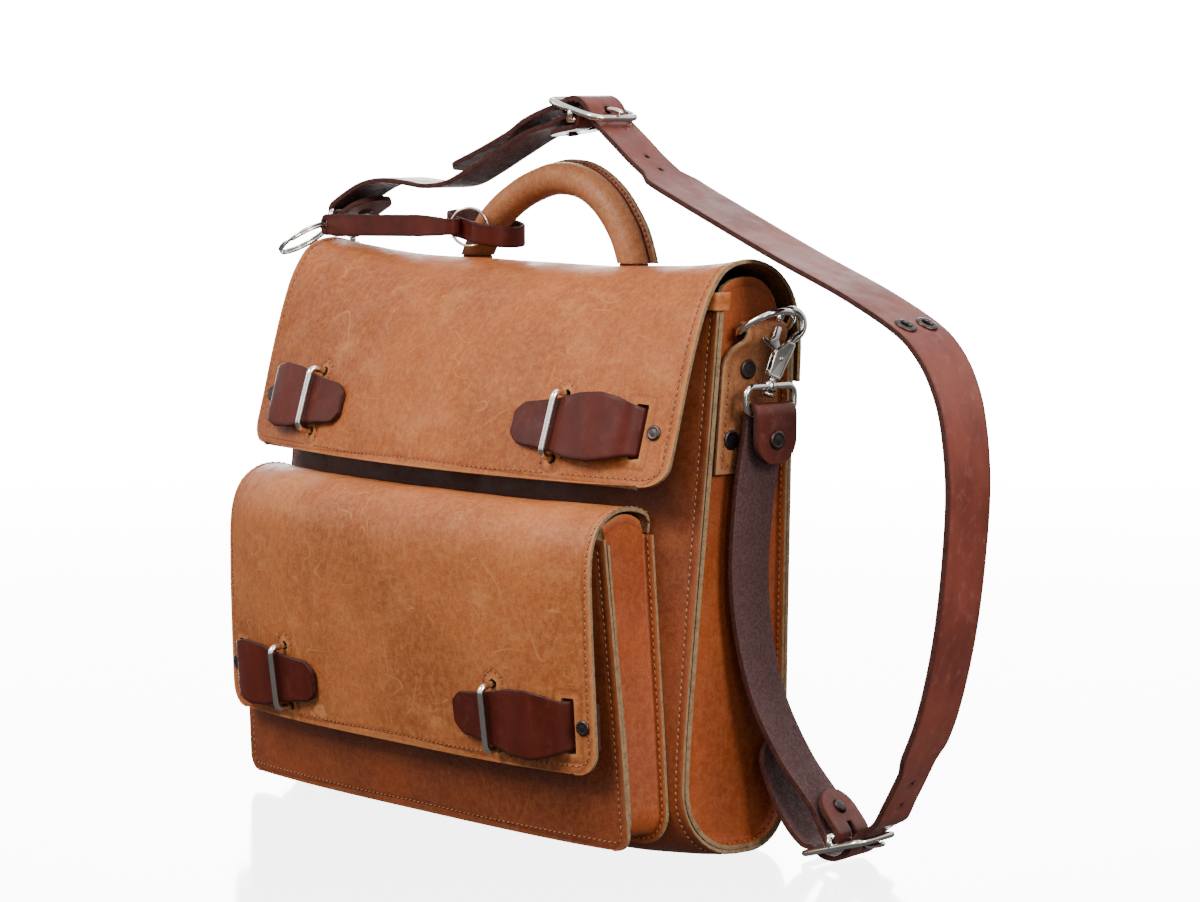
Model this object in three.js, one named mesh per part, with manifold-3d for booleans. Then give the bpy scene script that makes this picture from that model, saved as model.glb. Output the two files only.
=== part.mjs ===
// A leather briefcase: a stuffed case with a flap, a flapped front pocket, four tongue-and-loop
// closures, a rolled handle with a key strap, and a shoulder strap on two trigger snap hooks.
// Millimetres, +Z up. The front faces -Y, and the origin is on the floor under the case's middle.
import * as THREE from 'three';
import { mergeVertices } from 'three/addons/utils/BufferGeometryUtils.js';
import Module from 'manifold-3d';

const wasm = await Module();
wasm.setup();

// Driving dimensions
const HALF_WIDTH = 190; // middle of the case to the raw edges of its end seams
const FRONT_TOP = 312; // free upper edge of the front panel
const BACK_TOP = 284; // upper edge of the back panel, under the flap's sewn edge
const LEATHER = 2.4; // tan case leather
const THIN_LEATHER = 1.6; // small seam tabs
const TONGUE_LEATHER = 2.6; // dark closure tongues and key strap
const STRAP_LEATHER = 3; // shoulder strap
const GAP = 0.3; // play between touching pieces
const SEAM = 6; // seam allowance that stands out past a stitch row
const PANEL_INSET = 7; // end panels lie this far inside the raw edges
const PANEL_CREST = [308, 309, 310.5, 316.5, 321, 319.5, 309, 296, 285, 280]; // top edge, from front to rear
const WIRE = 2; // radius of the nickel wire
const NARROW = 15; // half width of the strap's ends
const WIDE = 20; // half width of the strap's shoulder part

// End seam of the front panel by height, and how far the stuffed middle swells forward of it
const FRONT = [
  { z: 0, y: -40, swell: 8 },
  { z: 60, y: -38, swell: 17 },
  { z: 140, y: -30.5, swell: 28 },
  { z: 225, y: -21.5, swell: 33 },
  { z: 275, y: -16.5, swell: 25 },
  { z: FRONT_TOP, y: -13, swell: 4 },
];
const BACK = [
  { z: 0, y: 37, swell: 2 },
  { z: 100, y: 38, swell: 8 },
  { z: 200, y: 40, swell: 10 },
  { z: BACK_TOP, y: 41.8, swell: 8 },
];
const FRONT_CORNER = { end: 40, middle: 12 };
const BACK_CORNER = { end: 27, middle: 12 };

// Main flap from its sewn rear edge over the top and down the front: its end profile, how far the
// middle swells forward and how far it sags
const FLAP_HALF = 191;
const FLAP_CORNER = 16;
const FLAP = [
  { v: 0, y: 45.6, z: 262, swell: -9.5, sag: 0 },
  { v: 0.08, y: 46, z: 290, swell: -8.5, sag: 1 },
  { v: 0.15, y: 40.5, z: 311, swell: -3, sag: 4 },
  { v: 0.21, y: 28, z: 324.5, swell: 0, sag: 7 },
  { v: 0.28, y: 9, z: 330.5, swell: 0, sag: 8 },
  { v: 0.35, y: -9, z: 326.5, swell: 4, sag: 8 },
  { v: 0.42, y: -20.5, z: 313, swell: 11, sag: 6 },
  { v: 0.5, y: -28.5, z: 295, swell: 18, sag: 4 },
  { v: 0.63, y: -37.5, z: 266, swell: 24, sag: 2 },
  { v: 0.83, y: -46.5, z: 232, swell: 27, sag: 1 },
  { v: 1, y: -53.5, z: 208, swell: 27, sag: 0 },
];

// Front pocket: its front panel by height, and its flap by distance in front of the case
const POCKET = [
  { z: 7, half: 177, depth: 25, wallRear: 177, wallFront: 170 },
  { z: 60, half: 175, depth: 28, wallRear: 173, wallFront: 168.5 },
  { z: 120, half: 171.5, depth: 34, wallRear: 166, wallFront: 165 },
  { z: 180, half: 167, depth: 40, wallRear: 158.5, wallFront: 161 },
];
const POCKET_CORNER = 10;
const GUSSET_BOTTOM = 14;
const GUSSET_CREST = [181, 188, 192.5, 187]; // heights of the gusset wall's top edge, from rear to front
const POCKET_FLAP_CORNER = 14;
const POCKET_FLAP = [
  { v: 0, z: 181, half: 163, depth: 3.5 },
  { v: 0.07, z: 188, half: 163, depth: 3.8 },
  { v: 0.12, z: 192.5, half: 163.5, depth: 8 },
  { v: 0.19, z: 195.5, half: 164.5, depth: 20 },
  { v: 0.27, z: 194, half: 165.5, depth: 33.5 },
  { v: 0.34, z: 186, half: 166.5, depth: 44.5 },
  { v: 0.43, z: 170, half: 167.5, depth: 49.5 },
  { v: 0.6, z: 137, half: 168.5, depth: 48 },
  { v: 0.8, z: 92, half: 169.5, depth: 44 },
  { v: 1, z: 50, half: 170, depth: 40.5 },
];

// Closures: place of each loop, and its tongue by distance from the loop along the flap
const LOOP_SPREAD = 37;
const LOOP_STAND = 9.6;
const CLOSURES = [
  { name: 'main', x: 112, z: 237.5, rivet: 177, slit: 166 },
  { name: 'pocket', x: 98, z: 77, rivet: 162, slit: 152 },
];
const TONGUE = [
  { out: -33.5, rise: 2, half: 9.2 },
  { out: -31, rise: 2, half: 11.6 },
  { out: -16, rise: 3.4, half: 13 },
  { out: 0, rise: 5, half: 15 },
  { out: 16, rise: 6.8, half: 18.8 },
  { out: 32, rise: 8.2, half: 19.8 },
  { out: 44, rise: 7, half: 17.4 },
  { out: 51.5, rise: 3.6, half: 14.4 },
  { out: 55.5, rise: -3.4, half: 13.6 },
  { out: 60, rise: -5.2, half: 13.4 },
  { out: 71, rise: -5.2, half: 13 },
];

// Handle centre line
const HANDLE_Y = 26;
const HANDLE_RADIUS = 9.5;
const HANDLE_FIN = 4.5;
const HANDLE_FOOT = 324.4; // height at which the handle's ends are cut
const HANDLE = [
  { x: -73, z: 319 },
  { x: -66.5, z: 330 },
  { x: -58.5, z: 341 },
  { x: -47, z: 351 },
  { x: -24, z: 363.5 },
  { x: 4, z: 371.5 },
  { x: 31, z: 369 },
  { x: 52, z: 357 },
  { x: 66, z: 341 },
  { x: 71.5, z: 330 },
  { x: 75.5, z: 319 },
];

// Shoulder strap, outside of the buckles and folds
const STRAP_LEFT = [
  { x: 16, y: 25, z: 404 },
  { x: -6, y: 25, z: 398.5 },
  { x: -37, y: 25, z: 385.8 },
  { x: -63, y: 25, z: 374.6 },
  { x: -83, y: 25, z: 367.3 },
  { x: -103, y: 25, z: 365.2 },
  { x: -125, y: 25, z: 367 },
  { x: -146, y: 25, z: 367.8 },
  { x: -164, y: 26, z: 365.4 },
  { x: -181, y: 28, z: 360.3 },
];
const TAIL_TOP = [
  { x: -5.6, y: 23, z: 405.5 },
  { x: -20, y: 24, z: 398.7 },
  { x: -53, y: 25, z: 386.4 },
  { x: -84, y: 25, z: 376 },
];
const SHOULDER = [
  { x: 73, y: 25, z: 393, half: NARROW },
  { x: 84, y: 25.5, z: 385, half: NARROW },
  { x: 97, y: 26, z: 376.8, half: NARROW },
  { x: 106, y: 26.5, z: 372, half: WIDE },
  { x: 151, y: 27, z: 354.5, half: WIDE },
  { x: 211, y: 28, z: 332, half: WIDE },
  { x: 264, y: 28.5, z: 313.5, half: WIDE },
  { x: 299, y: 29, z: 298.2, half: WIDE },
  { x: 310.5, y: 29.2, z: 290.8, half: WIDE },
  { x: 321.5, y: 29.5, z: 279, half: WIDE },
  { x: 328.8, y: 29.8, z: 266, half: WIDE },
  { x: 333.5, y: 30, z: 252, half: WIDE },
  { x: 338, y: 30, z: 219, half: WIDE },
  { x: 335, y: 31, z: 180, half: WIDE },
  { x: 327.5, y: 31.5, z: 133, half: WIDE },
  { x: 315.5, y: 32, z: 92, half: WIDE },
  { x: 304.5, y: 33, z: 70, half: WIDE },
  { x: 298, y: 34, z: 60, half: NARROW },
  { x: 283, y: 36.5, z: 39, half: NARROW },
  { x: 272.5, y: 38.5, z: 26, half: NARROW },
];
const TAIL_BOTTOM = [
  { x: 209, y: 28, z: 23 },
  { x: 199, y: 25, z: 45 },
  { x: 195, y: 22, z: 64 },
];
const STRAP_RIGHT = [
  { x: 229, y: 32, z: 29.5 },
  { x: 213, y: 24, z: 54 },
  { x: 199.5, y: 15, z: 88 },
  { x: 194, y: 9.5, z: 122 },
  { x: 193.4, y: 6, z: 157 },
  { x: 194.6, y: 9, z: 205 },
  { x: 196, y: 14.8, z: 238 },
];
const TAB = 29; // length of a folded strap end beyond its bar

// Hardware places: middle, direction along the strap, and direction across it
const BUCKLE_HALF = { length: 23, width: 19.5, drop: 6 };
const BUCKLES = {
  top: { at: [39, 24.4, 412.8], slope: -14.5, yaw: 5, outer: 1 },
  bottom: { at: [242.7, 36, 9.2], slope: 15.4, yaw: 13, outer: -1 },
};
const RIGHT_BAR = new THREE.Vector3(200, 15.5, 247);
const LEFT_BAR = new THREE.Vector3(-200, 30, 347.6);
const SWIVEL_HALF = 18; // strap loop of the snap hook, between its legs' middles
const SWIVEL_HEIGHT = 14.5;
const HOOKS = {
  right: { bar: RIGHT_BAR, ring: [200.6, 31, 297.9], side: 1, yaw: 78 },
  left: { bar: LEFT_BAR, ring: [-202.4, 31, 293.4], side: -1, yaw: 102 },
};
const D_RING = { half: 17.5, depth: 21, z: 290.8, x: 190.7, y: 17 };
const D_RING_TILT = { right: 36, left: 12 };

// Materials by finish
const FINISH = {
  tan: { color: 0xb4703c, roughness: 0.62, metalness: 0 },
  sideTan: { color: 0xa8602f, roughness: 0.64, metalness: 0 },
  dark: { color: 0x4e2a22, roughness: 0.45, metalness: 0 },
  strap: { color: 0x7d4838, roughness: 0.45, metalness: 0 },
  nickel: { color: 0xd8d6d0, roughness: 0.18, metalness: 1 },
  gunmetal: { color: 0x3b3633, roughness: 0.4, metalness: 1 },
};

const briefcase = new THREE.Group();

// Adds one named piece with its finish to the briefcase
function addPiece(name, geometry, finish, parent = briefcase) {
  const mesh = new THREE.Mesh(geometry, new THREE.MeshStandardMaterial(FINISH[finish]));
  mesh.name = name;
  parent.add(mesh);
  return mesh;
}

// Smooth value of a table's column where its key column has the value `at`
function along(table, key, column, at) {
  const last = table.length - 1;
  let i = 0;
  while (i < last - 1 && at > table[i + 1][key]) {
    i += 1;
  }
  const slope = (k) => {
    const before = table[Math.max(k - 1, 0)];
    const after = table[Math.min(k + 1, last)];
    return (after[column] - before[column]) / (after[key] - before[key]);
  };
  const span = table[i + 1][key] - table[i][key];
  const t = THREE.MathUtils.clamp((at - table[i][key]) / span, 0, 1);
  const start = table[i][column] * (1 + 2 * t) * (1 - t) ** 2 + slope(i) * span * t * (1 - t) ** 2;
  return start + table[i + 1][column] * t * t * (3 - 2 * t) - slope(i + 1) * span * t * t * (1 - t);
}

// Closed geometry from vertices and triangles, turned so that its faces point out
function closedGeometry(vertices, triangles) {
  const volume = triangles.reduce((sum, [a, b, c]) => {
    const cross = new THREE.Vector3().crossVectors(vertices[b], vertices[c]);
    return sum + vertices[a].dot(cross);
  }, 0);
  const index = triangles.flatMap(([a, b, c]) => (volume > 0 ? [a, b, c] : [a, c, b]));
  const geometry = new THREE.BufferGeometry().setFromPoints(vertices);
  geometry.setIndex(index);
  return geometry;
}

// Sheet of leather around a grid of middle points, given as rows of columns
function sheet(grid, thickness) {
  const rows = grid.length;
  const columns = grid[0].length;
  const vertices = [];
  const triangles = [];
  for (const side of [0.5, -0.5]) {
    for (let r = 0; r < rows; r += 1) {
      for (let c = 0; c < columns; c += 1) {
        const down = grid[Math.min(r + 1, rows - 1)][c].clone().sub(grid[Math.max(r - 1, 0)][c]);
        const over = grid[r][Math.min(c + 1, columns - 1)].clone().sub(grid[r][Math.max(c - 1, 0)]);
        const normal = down.cross(over).normalize();
        vertices.push(grid[r][c].clone().addScaledVector(normal, side * thickness));
      }
    }
  }
  const at = (s, r, c) => s * rows * columns + r * columns + c;
  const quad = (a, b, c, d) => triangles.push([a, b, c], [a, c, d]);
  for (let r = 0; r < rows - 1; r += 1) {
    for (let c = 0; c < columns - 1; c += 1) {
      quad(at(0, r, c), at(0, r + 1, c), at(0, r + 1, c + 1), at(0, r, c + 1));
      quad(at(1, r, c), at(1, r, c + 1), at(1, r + 1, c + 1), at(1, r + 1, c));
    }
    quad(at(0, r, 0), at(1, r, 0), at(1, r + 1, 0), at(0, r + 1, 0));
    quad(at(0, r, columns - 1), at(0, r + 1, columns - 1), at(1, r + 1, columns - 1), at(1, r, columns - 1));
  }
  for (let c = 0; c < columns - 1; c += 1) {
    quad(at(0, 0, c), at(0, 0, c + 1), at(1, 0, c + 1), at(1, 0, c));
    quad(at(0, rows - 1, c), at(1, rows - 1, c), at(1, rows - 1, c + 1), at(0, rows - 1, c + 1));
  }
  return closedGeometry(vertices, triangles);
}

// Solid skin through a row of rings, capped at both ends or joined end to start
function loft(rings, joined = false) {
  const sides = rings[0].length;
  const vertices = rings.flat();
  const triangles = [];
  const spans = joined ? rings.length : rings.length - 1;
  for (let r = 0; r < spans; r += 1) {
    const here = r * sides;
    const there = ((r + 1) % rings.length) * sides;
    for (let s = 0; s < sides; s += 1) {
      const next = (s + 1) % sides;
      triangles.push([here + s, there + s, there + next], [here + s, there + next, here + next]);
    }
  }
  if (!joined) {
    const end = (rings.length - 1) * sides;
    for (let s = 1; s < sides - 1; s += 1) {
      triangles.push([0, s, s + 1], [end, end + s + 1, end + s]);
    }
  }
  return closedGeometry(vertices, triangles);
}

// Direction of travel at each point of a path
function tangents(points, joined = false) {
  const count = points.length;
  return points.map((point, i) => {
    const after = joined ? points[(i + 1) % count] : points[Math.min(i + 1, count - 1)];
    const before = joined ? points[(i + count - 1) % count] : points[Math.max(i - 1, 0)];
    return after.clone().sub(before).normalize();
  });
}

// Round wire along points that lie in a plane with the given normal
function wire(points, normal, radius, joined = false, sides = 6) {
  const travel = tangents(points, joined);
  const rings = points.map((point, i) => {
    const aside = new THREE.Vector3().crossVectors(travel[i], normal).normalize();
    const ring = [];
    for (let s = 0; s < sides; s += 1) {
      const angle = (2 * Math.PI * s) / sides;
      const offset = normal.clone().multiplyScalar(Math.cos(angle) * radius);
      ring.push(point.clone().add(offset.addScaledVector(aside, Math.sin(angle) * radius)));
    }
    return ring;
  });
  return loft(rings, joined);
}

// Points of an arc in the plane of two unit vectors
function arc(centre, first, second, radius, from, to, steps) {
  const points = [];
  for (let i = 0; i <= steps; i += 1) {
    const angle = THREE.MathUtils.degToRad(THREE.MathUtils.lerp(from, to, i / steps));
    const point = centre.clone().addScaledVector(first, Math.cos(angle) * radius);
    points.push(point.addScaledVector(second, Math.sin(angle) * radius));
  }
  return points;
}

// Flat strap along stations of a middle point, a half width and a direction across
function ribbon(stations, thickness) {
  const travel = tangents(stations.map((station) => station.point));
  const rings = stations.map(({ point, half, across }, i) => {
    const over = across.clone().addScaledVector(travel[i], -across.dot(travel[i])).normalize();
    const up = new THREE.Vector3().crossVectors(over, travel[i]).multiplyScalar(thickness / 2);
    const side = over.multiplyScalar(half);
    return [
      point.clone().add(side).add(up),
      point.clone().sub(side).add(up),
      point.clone().sub(side).sub(up),
      point.clone().add(side).sub(up),
    ];
  });
  return loft(rings);
}

// Stations of a strap from a hand-placed route, with extra ones on a smooth curve between its rows
function stationsAlong(route, across, steps) {
  const points = route.map((row) => new THREE.Vector3(row.x, row.y, row.z));
  const curve = new THREE.CatmullRomCurve3(points, false, 'centripetal');
  const count = (route.length - 1) * steps;
  const stations = [];
  for (let i = 0; i <= count; i += 1) {
    const row = Math.min(Math.floor(i / steps), route.length - 2);
    const mix = i / steps - row;
    const half = THREE.MathUtils.lerp(route[row].half ?? NARROW, route[row + 1].half ?? NARROW, mix);
    const share = THREE.MathUtils.smoothstep(i / count, 0.38, 0.66);
    const turn = across.from.clone().lerp(across.to, share).normalize();
    stations.push({ point: curve.getPoint(i / count), half, across: turn });
  }
  return stations;
}

// Boolean joins and cuts
function solidOf(geometry) {
  const bare = geometry.clone();
  bare.deleteAttribute('normal');
  bare.deleteAttribute('uv');
  const merged = mergeVertices(bare, 1e-4);
  const vertProperties = new Float32Array(merged.attributes.position.array);
  const triVerts = new Uint32Array(merged.index.array);
  return new wasm.Manifold(new wasm.Mesh({ numProp: 3, vertProperties, triVerts }));
}

function geometryOf(solid) {
  const mesh = solid.getMesh();
  const geometry = new THREE.BufferGeometry();
  geometry.setAttribute('position', new THREE.BufferAttribute(new Float32Array(mesh.vertProperties), 3));
  geometry.setIndex(new THREE.BufferAttribute(new Uint32Array(mesh.triVerts), 1));
  return geometry;
}

function joinAll(geometries) {
  return geometryOf(geometries.map(solidOf).reduce((whole, next) => whole.add(next)));
}

function cutAll(geometry, tools) {
  return geometryOf(tools.map(solidOf).reduce((rest, tool) => rest.subtract(tool), solidOf(geometry)));
}

// Turn that carries +Y onto a direction
function turnTo(direction) {
  return new THREE.Quaternion().setFromUnitVectors(new THREE.Vector3(0, 1, 0), direction);
}

// Round punch through leather at a point, along a direction
function punch(point, direction, radius, length) {
  const corner = radius / Math.cos(Math.PI / 6);
  const geometry = new THREE.CylinderGeometry(corner, corner, length, 6);
  return geometry.applyQuaternion(turnTo(direction)).translate(point.x, point.y, point.z);
}

// Rivet through a stack of leather: domed head on the side that `direction` points to
function rivet(point, direction, headRadius, stack) {
  const face = stack / 2 + GAP;
  const stud = headRadius * 0.45;
  const profile = [
    new THREE.Vector2(0, -face - 1.2),
    new THREE.Vector2(headRadius * 0.85, -face),
    new THREE.Vector2(stud, -face),
    new THREE.Vector2(stud, face),
    new THREE.Vector2(headRadius, face),
    new THREE.Vector2(headRadius * 0.8, face + 0.9),
    new THREE.Vector2(0, face + 1.3),
  ];
  const geometry = new THREE.LatheGeometry(profile, 6);
  return geometry.applyQuaternion(turnTo(direction)).translate(point.x, point.y, point.z);
}

function rivetPunch(point, direction, headRadius, length) {
  return punch(point, direction, headRadius * 0.45 + GAP, length);
}

// Share of the full swell that a stuffed panel has at a place across the case
function fullness(x) {
  return 1 - Math.abs(x / HALF_WIDTH) ** 3;
}

// Front and back of the case as heights of their middle surfaces along Y
function frontY(x, z) {
  return along(FRONT, 'z', 'y', z) - along(FRONT, 'z', 'swell', z) * fullness(x);
}

function backY(x, z) {
  return along(BACK, 'z', 'y', z) + along(BACK, 'z', 'swell', z) * fullness(x);
}

// Bottom corners are round where the end panels hold them and pressed flatter between
function cornerRadius(corner, x) {
  return corner.end + (corner.middle - corner.end) * (1 - Math.abs(x / HALF_WIDTH) ** 6);
}

// Middle line of the case wall from the front's free edge, under the bottom, to the back's top
function wallSection(x, frontTop, backTop, inset) {
  const front = cornerRadius(FRONT_CORNER, x);
  const back = cornerRadius(BACK_CORNER, x);
  const frontCentre = frontY(x, front) + front;
  const backCentre = backY(x, back) - back;
  const floor = LEATHER / 2 + inset;
  const section = [];
  const frontRows = 6;
  const cornerRows = 2;
  const backRows = 6;
  for (let i = 0; i <= frontRows; i += 1) {
    const z = THREE.MathUtils.lerp(frontTop, front, i / frontRows);
    section.push({ y: frontY(x, z) + inset, z });
  }
  for (let i = 1; i <= cornerRows; i += 1) {
    const angle = (Math.PI / 2) * (i / cornerRows);
    const y = frontCentre - (front - inset) * Math.cos(angle);
    section.push({ y, z: front + (floor - front) * Math.sin(angle) });
  }
  section.push({ y: (frontCentre + backCentre) / 2, z: floor });
  for (let i = cornerRows; i >= 1; i -= 1) {
    const angle = (Math.PI / 2) * (i / cornerRows);
    const y = backCentre + (back - inset) * Math.cos(angle);
    section.push({ y, z: back + (floor - back) * Math.sin(angle) });
  }
  for (let i = 0; i <= backRows; i += 1) {
    const z = THREE.MathUtils.lerp(back, backTop, i / backRows);
    section.push({ y: backY(x, z) - inset, z });
  }
  return section;
}

// Evenly spaced values from -1 to 1
function spread(count) {
  return Array.from({ length: count + 1 }, (_, i) => -1 + (2 * i) / count);
}

// Front, bottom and back of the case in one wrap of leather
function caseWrap() {
  const columns = spread(10).map((u) => {
    const x = u * HALF_WIDTH;
    return wallSection(x, FRONT_TOP, BACK_TOP, 0).map(({ y, z }) => new THREE.Vector3(x, y, z));
  });
  return sheet(columns, LEATHER);
}

// End panel: a shallow tray whose rim turns out to lie inside the wrap's raw edge
const PANEL_TOP = 308;
const RIM = [
  { in: 0, out: 1 },
  { in: 0.9, out: 0.6 },
  { in: 2.4, out: 0.2 },
  { in: 5.5, out: 0 },
];
function endPanel(side) {
  const x = side * HALF_WIDTH;
  const inset = LEATHER + GAP + 0.6;
  const steps = RIM.map((entry) => entry.in);
  const rimAt = (distance) => along(RIM, 'in', 'out', Math.min(distance, 5.5));
  const outline = wallSection(x, PANEL_TOP, BACK_TOP - 4, inset);
  const half = (outline.length - 1) / 2;
  const rows = [];
  for (let i = 0; i <= half; i += 1) {
    rows.push([outline[i], outline[outline.length - 1 - i]]);
  }
  const grid = rows.slice(0, -1).map(([front, back], row) => {
    const depth = back.y - front.y;
    const fromFloor = Math.max(front.z, back.z) - LEATHER / 2 - inset;
    const middles = [0.38, 0.68].map((share) => front.y + share * depth);
    const ys = [...steps.map((s) => front.y + s), ...middles, ...steps.map((s) => back.y - s).reverse()];
    return ys.map((y, column) => {
      const share = (y - front.y) / depth;
      const z = row === 0 ? PANEL_CREST[column] : THREE.MathUtils.lerp(front.z, back.z, share);
      const edge = Math.min(y - front.y, back.y - y, Math.max(fromFloor, 0));
      return new THREE.Vector3(x - side * PANEL_INSET * (1 - rimAt(edge)), y, z);
    });
  });
  return sheet(grid, LEATHER);
}

// Main flap: u runs across from -1 to 1, v from the sewn rear edge to the front edge
function flapPoint(u, v) {
  const fromEdge = (1 - v) * 170;
  const cut = Math.max(FLAP_CORNER - fromEdge, 0);
  const half = FLAP_HALF - FLAP_CORNER + Math.sqrt(FLAP_CORNER ** 2 - cut ** 2);
  const x = u * half;
  const swell = along(FLAP, 'v', 'swell', v) * (1 - Math.abs(x / FLAP_HALF) ** 2);
  const sag = along(FLAP, 'v', 'sag', v) * (1 - Math.abs(x / FLAP_HALF) ** 4);
  return new THREE.Vector3(x, along(FLAP, 'v', 'y', v) - swell, along(FLAP, 'v', 'z', v) - sag);
}

// Pocket flap, with the same directions as the main flap
function pocketFlapPoint(u, v) {
  const fromEdge = (1 - v) * 210;
  const cut = Math.max(POCKET_FLAP_CORNER - fromEdge, 0);
  const half = along(POCKET_FLAP, 'v', 'half', v) - POCKET_FLAP_CORNER;
  const x = u * (half + Math.sqrt(POCKET_FLAP_CORNER ** 2 - cut ** 2));
  const z = along(POCKET_FLAP, 'v', 'z', v);
  return new THREE.Vector3(x, frontY(x, z) - along(POCKET_FLAP, 'v', 'depth', v), z);
}

// Rows of a flap, closer together where its front corners are round
const FLAP_ROWS = [0, 0.08, 0.13, 0.18, 0.23, 0.28, 0.33, 0.39, 0.46, 0.55, 0.68, 0.9, 0.97, 1];
const POCKET_FLAP_ROWS = [0, 0.07, 0.11, 0.17, 0.23, 0.29, 0.35, 0.43, 0.6, 0.93, 0.98, 1];
function flapSheet(point, rows) {
  return sheet(rows.map((v) => spread(10).map((u) => point(u, v))), LEATHER);
}

// Place on a flap's outer side at a distance across and a height, with the direction off the leather
function onFlap(point, x, z) {
  let low = 0.45;
  let high = 1;
  for (let i = 0; i < 30; i += 1) {
    const v = (low + high) / 2;
    if (point(x / FLAP_HALF, v).z > z) {
      low = v;
    } else {
      high = v;
    }
  }
  const width = point(1, low).x;
  const here = point(x / width, low);
  const across = point(x / width + 0.02, low).sub(point(x / width - 0.02, low));
  const down = point(x / width, low + 0.02).sub(point(x / width, low - 0.02));
  const normal = across.cross(down).normalize();
  normal.multiplyScalar(normal.y > 0 ? -1 : 1);
  const upward = down.addScaledVector(normal, -down.dot(normal)).normalize().negate();
  return { point: here.addScaledVector(normal, LEATHER / 2), normal, upward };
}

// Front panel of the pocket
function pocketY(x, z) {
  return frontY(x, z) - along(POCKET, 'z', 'depth', z);
}

function pocketFront() {
  const bottom = POCKET[0].z;
  const top = POCKET[3].z;
  const heights = [0, 1.4, 4.5, POCKET_CORNER, 32, 70, 108, 142, top - bottom].map((h) => bottom + h);
  const grid = heights.map((z) => {
    const cut = Math.max(POCKET_CORNER - (z - bottom), 0);
    const half = along(POCKET, 'z', 'half', z) - POCKET_CORNER + Math.sqrt(POCKET_CORNER ** 2 - cut ** 2);
    return spread(8).map((u) => new THREE.Vector3(u * half, pocketY(u * half, z), z));
  });
  return sheet(grid, LEATHER);
}

// Pocket gusset: one strip down a side, along the bottom and up the other side, with both of its
// borders turned out, the rear one flat on the case and the front one against the pocket's front
function pocketGusset() {
  const round = 12;
  const top = 177;
  const rearTop = 180;
  const right = [];
  const sideRows = 4;
  const cornerRows = 2;
  for (let i = 0; i <= sideRows; i += 1) {
    const z = THREE.MathUtils.lerp(top, GUSSET_BOTTOM + round, i / sideRows);
    right.push({ side: 1, in: 0, z, outX: 1, outZ: 0 });
  }
  for (let i = 1; i <= cornerRows; i += 1) {
    const angle = (Math.PI / 2) * (i / cornerRows);
    const z = GUSSET_BOTTOM + round * (1 - Math.sin(angle));
    const inward = round * (1 - Math.cos(angle));
    right.push({ side: 1, in: inward, z, outX: Math.cos(angle), outZ: -Math.sin(angle) });
  }
  const left = right.map((stop) => ({ ...stop, side: -1, outX: -stop.outX })).reverse();
  const middles = [0.6, 0.2, -0.2, -0.6].map((share) => ({ share, z: GUSSET_BOTTOM, outX: 0, outZ: -1 }));
  const grid = [...right, ...middles, ...left].map((stop) => {
    const wallX = (column) => {
      const half = along(POCKET, 'z', column, Math.max(stop.z, GUSSET_BOTTOM + round));
      return stop.share === undefined ? stop.side * (half - stop.in) : stop.share * half;
    };
    const off = LEATHER + GAP + 0.5;
    const place = (column, out, front) => {
      const x = wallX(column) + stop.outX * out;
      const lower = ((stop.z - GUSSET_BOTTOM) * (top - rearTop)) / (top - GUSSET_BOTTOM);
      const z = stop.z + stop.outZ * out - (front ? 0 : lower);
      const y = front ? pocketY(x, z) + off : frontY(x, z) - off;
      return new THREE.Vector3(x, y, z);
    };
    const rearTip = place('wallRear', SEAM, false);
    const rearBend = place('wallRear', 1, false);
    const frontBend = place('wallFront', 1, true);
    const frontTip = place('wallFront', SEAM, true);
    const rearWall = place('wallRear', 0, false);
    const frontWall = place('wallFront', 0, true);
    rearWall.y -= 1.4;
    frontWall.y += 1.4;
    const wall = [0, 0.08, 0.5, 1].map((share) => rearWall.clone().lerp(frontWall, share));
    if (stop.z === top) {
      wall.forEach((point, i) => point.setZ(GUSSET_CREST[i]));
    }
    return [rearTip, rearBend, ...wall, frontBend, frontTip];
  });
  return sheet(grid, LEATHER);
}

// Small tab folded round the top of a front end seam, over both raw edges
const TAB_BOTTOM = 304;
const TAB_TOP = 314;
function seamTab(side) {
  const off = LEATHER / 2 + GAP + THIN_LEATHER / 2 + 1.4;
  const fold = [
    { x: 184, reach: -off },
    { x: 190, reach: -off },
    { x: 191.5, reach: 1.6 - off },
    { x: 191.5, reach: 4.8 },
    { x: 190.4, reach: 6.4 },
    { x: 188.6, reach: 6.6 },
  ];
  const grid = fold.map(({ x, reach }) => {
    return [TAB_BOTTOM, TAB_TOP].map((z) => {
      const y = frontY(Math.min(x, HALF_WIDTH), Math.min(z, FRONT_TOP)) + reach;
      return new THREE.Vector3(side * x, y, z);
    });
  });
  return sheet(grid, THIN_LEATHER);
}

// Patch that holds a D-ring on an end panel: sewn flat, and rolled over the ring's bar at its top
const PATCH = [
  { x: 186.9, z: 213, front: -14, rear: 31 },
  { x: 186.9, z: 252, front: -10.5, rear: 32 },
  { x: 187, z: 276, front: -7.5, rear: 32 },
  { x: 191, z: 283, front: -4, rear: 32 },
  { x: 194.5, z: 287.2, front: 1, rear: 32 },
  { x: 195.2, z: 291, front: 2, rear: 32 },
  { x: 193.6, z: 294.8, front: 2, rear: 32 },
  { x: 190.6, z: 296, front: 2, rear: 32 },
  { x: 187.6, z: 294.2, front: 2, rear: 32 },
  { x: 186.7, z: 289, front: 2, rear: 32 },
];
const PATCH_RIVETS = [
  { name: 'upper', y: 9.8, z: 270.5 },
  { name: 'lower', y: -2.6, z: 232 },
];
function ringPatch(side) {
  const grid = PATCH.map(({ x, z, front, rear }) => {
    const ys = [0, 0.5, 1].map((share) => THREE.MathUtils.lerp(front, rear, share));
    return ys.map((y) => new THREE.Vector3(side * x, y, z));
  });
  return sheet(grid, LEATHER);
}

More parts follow.
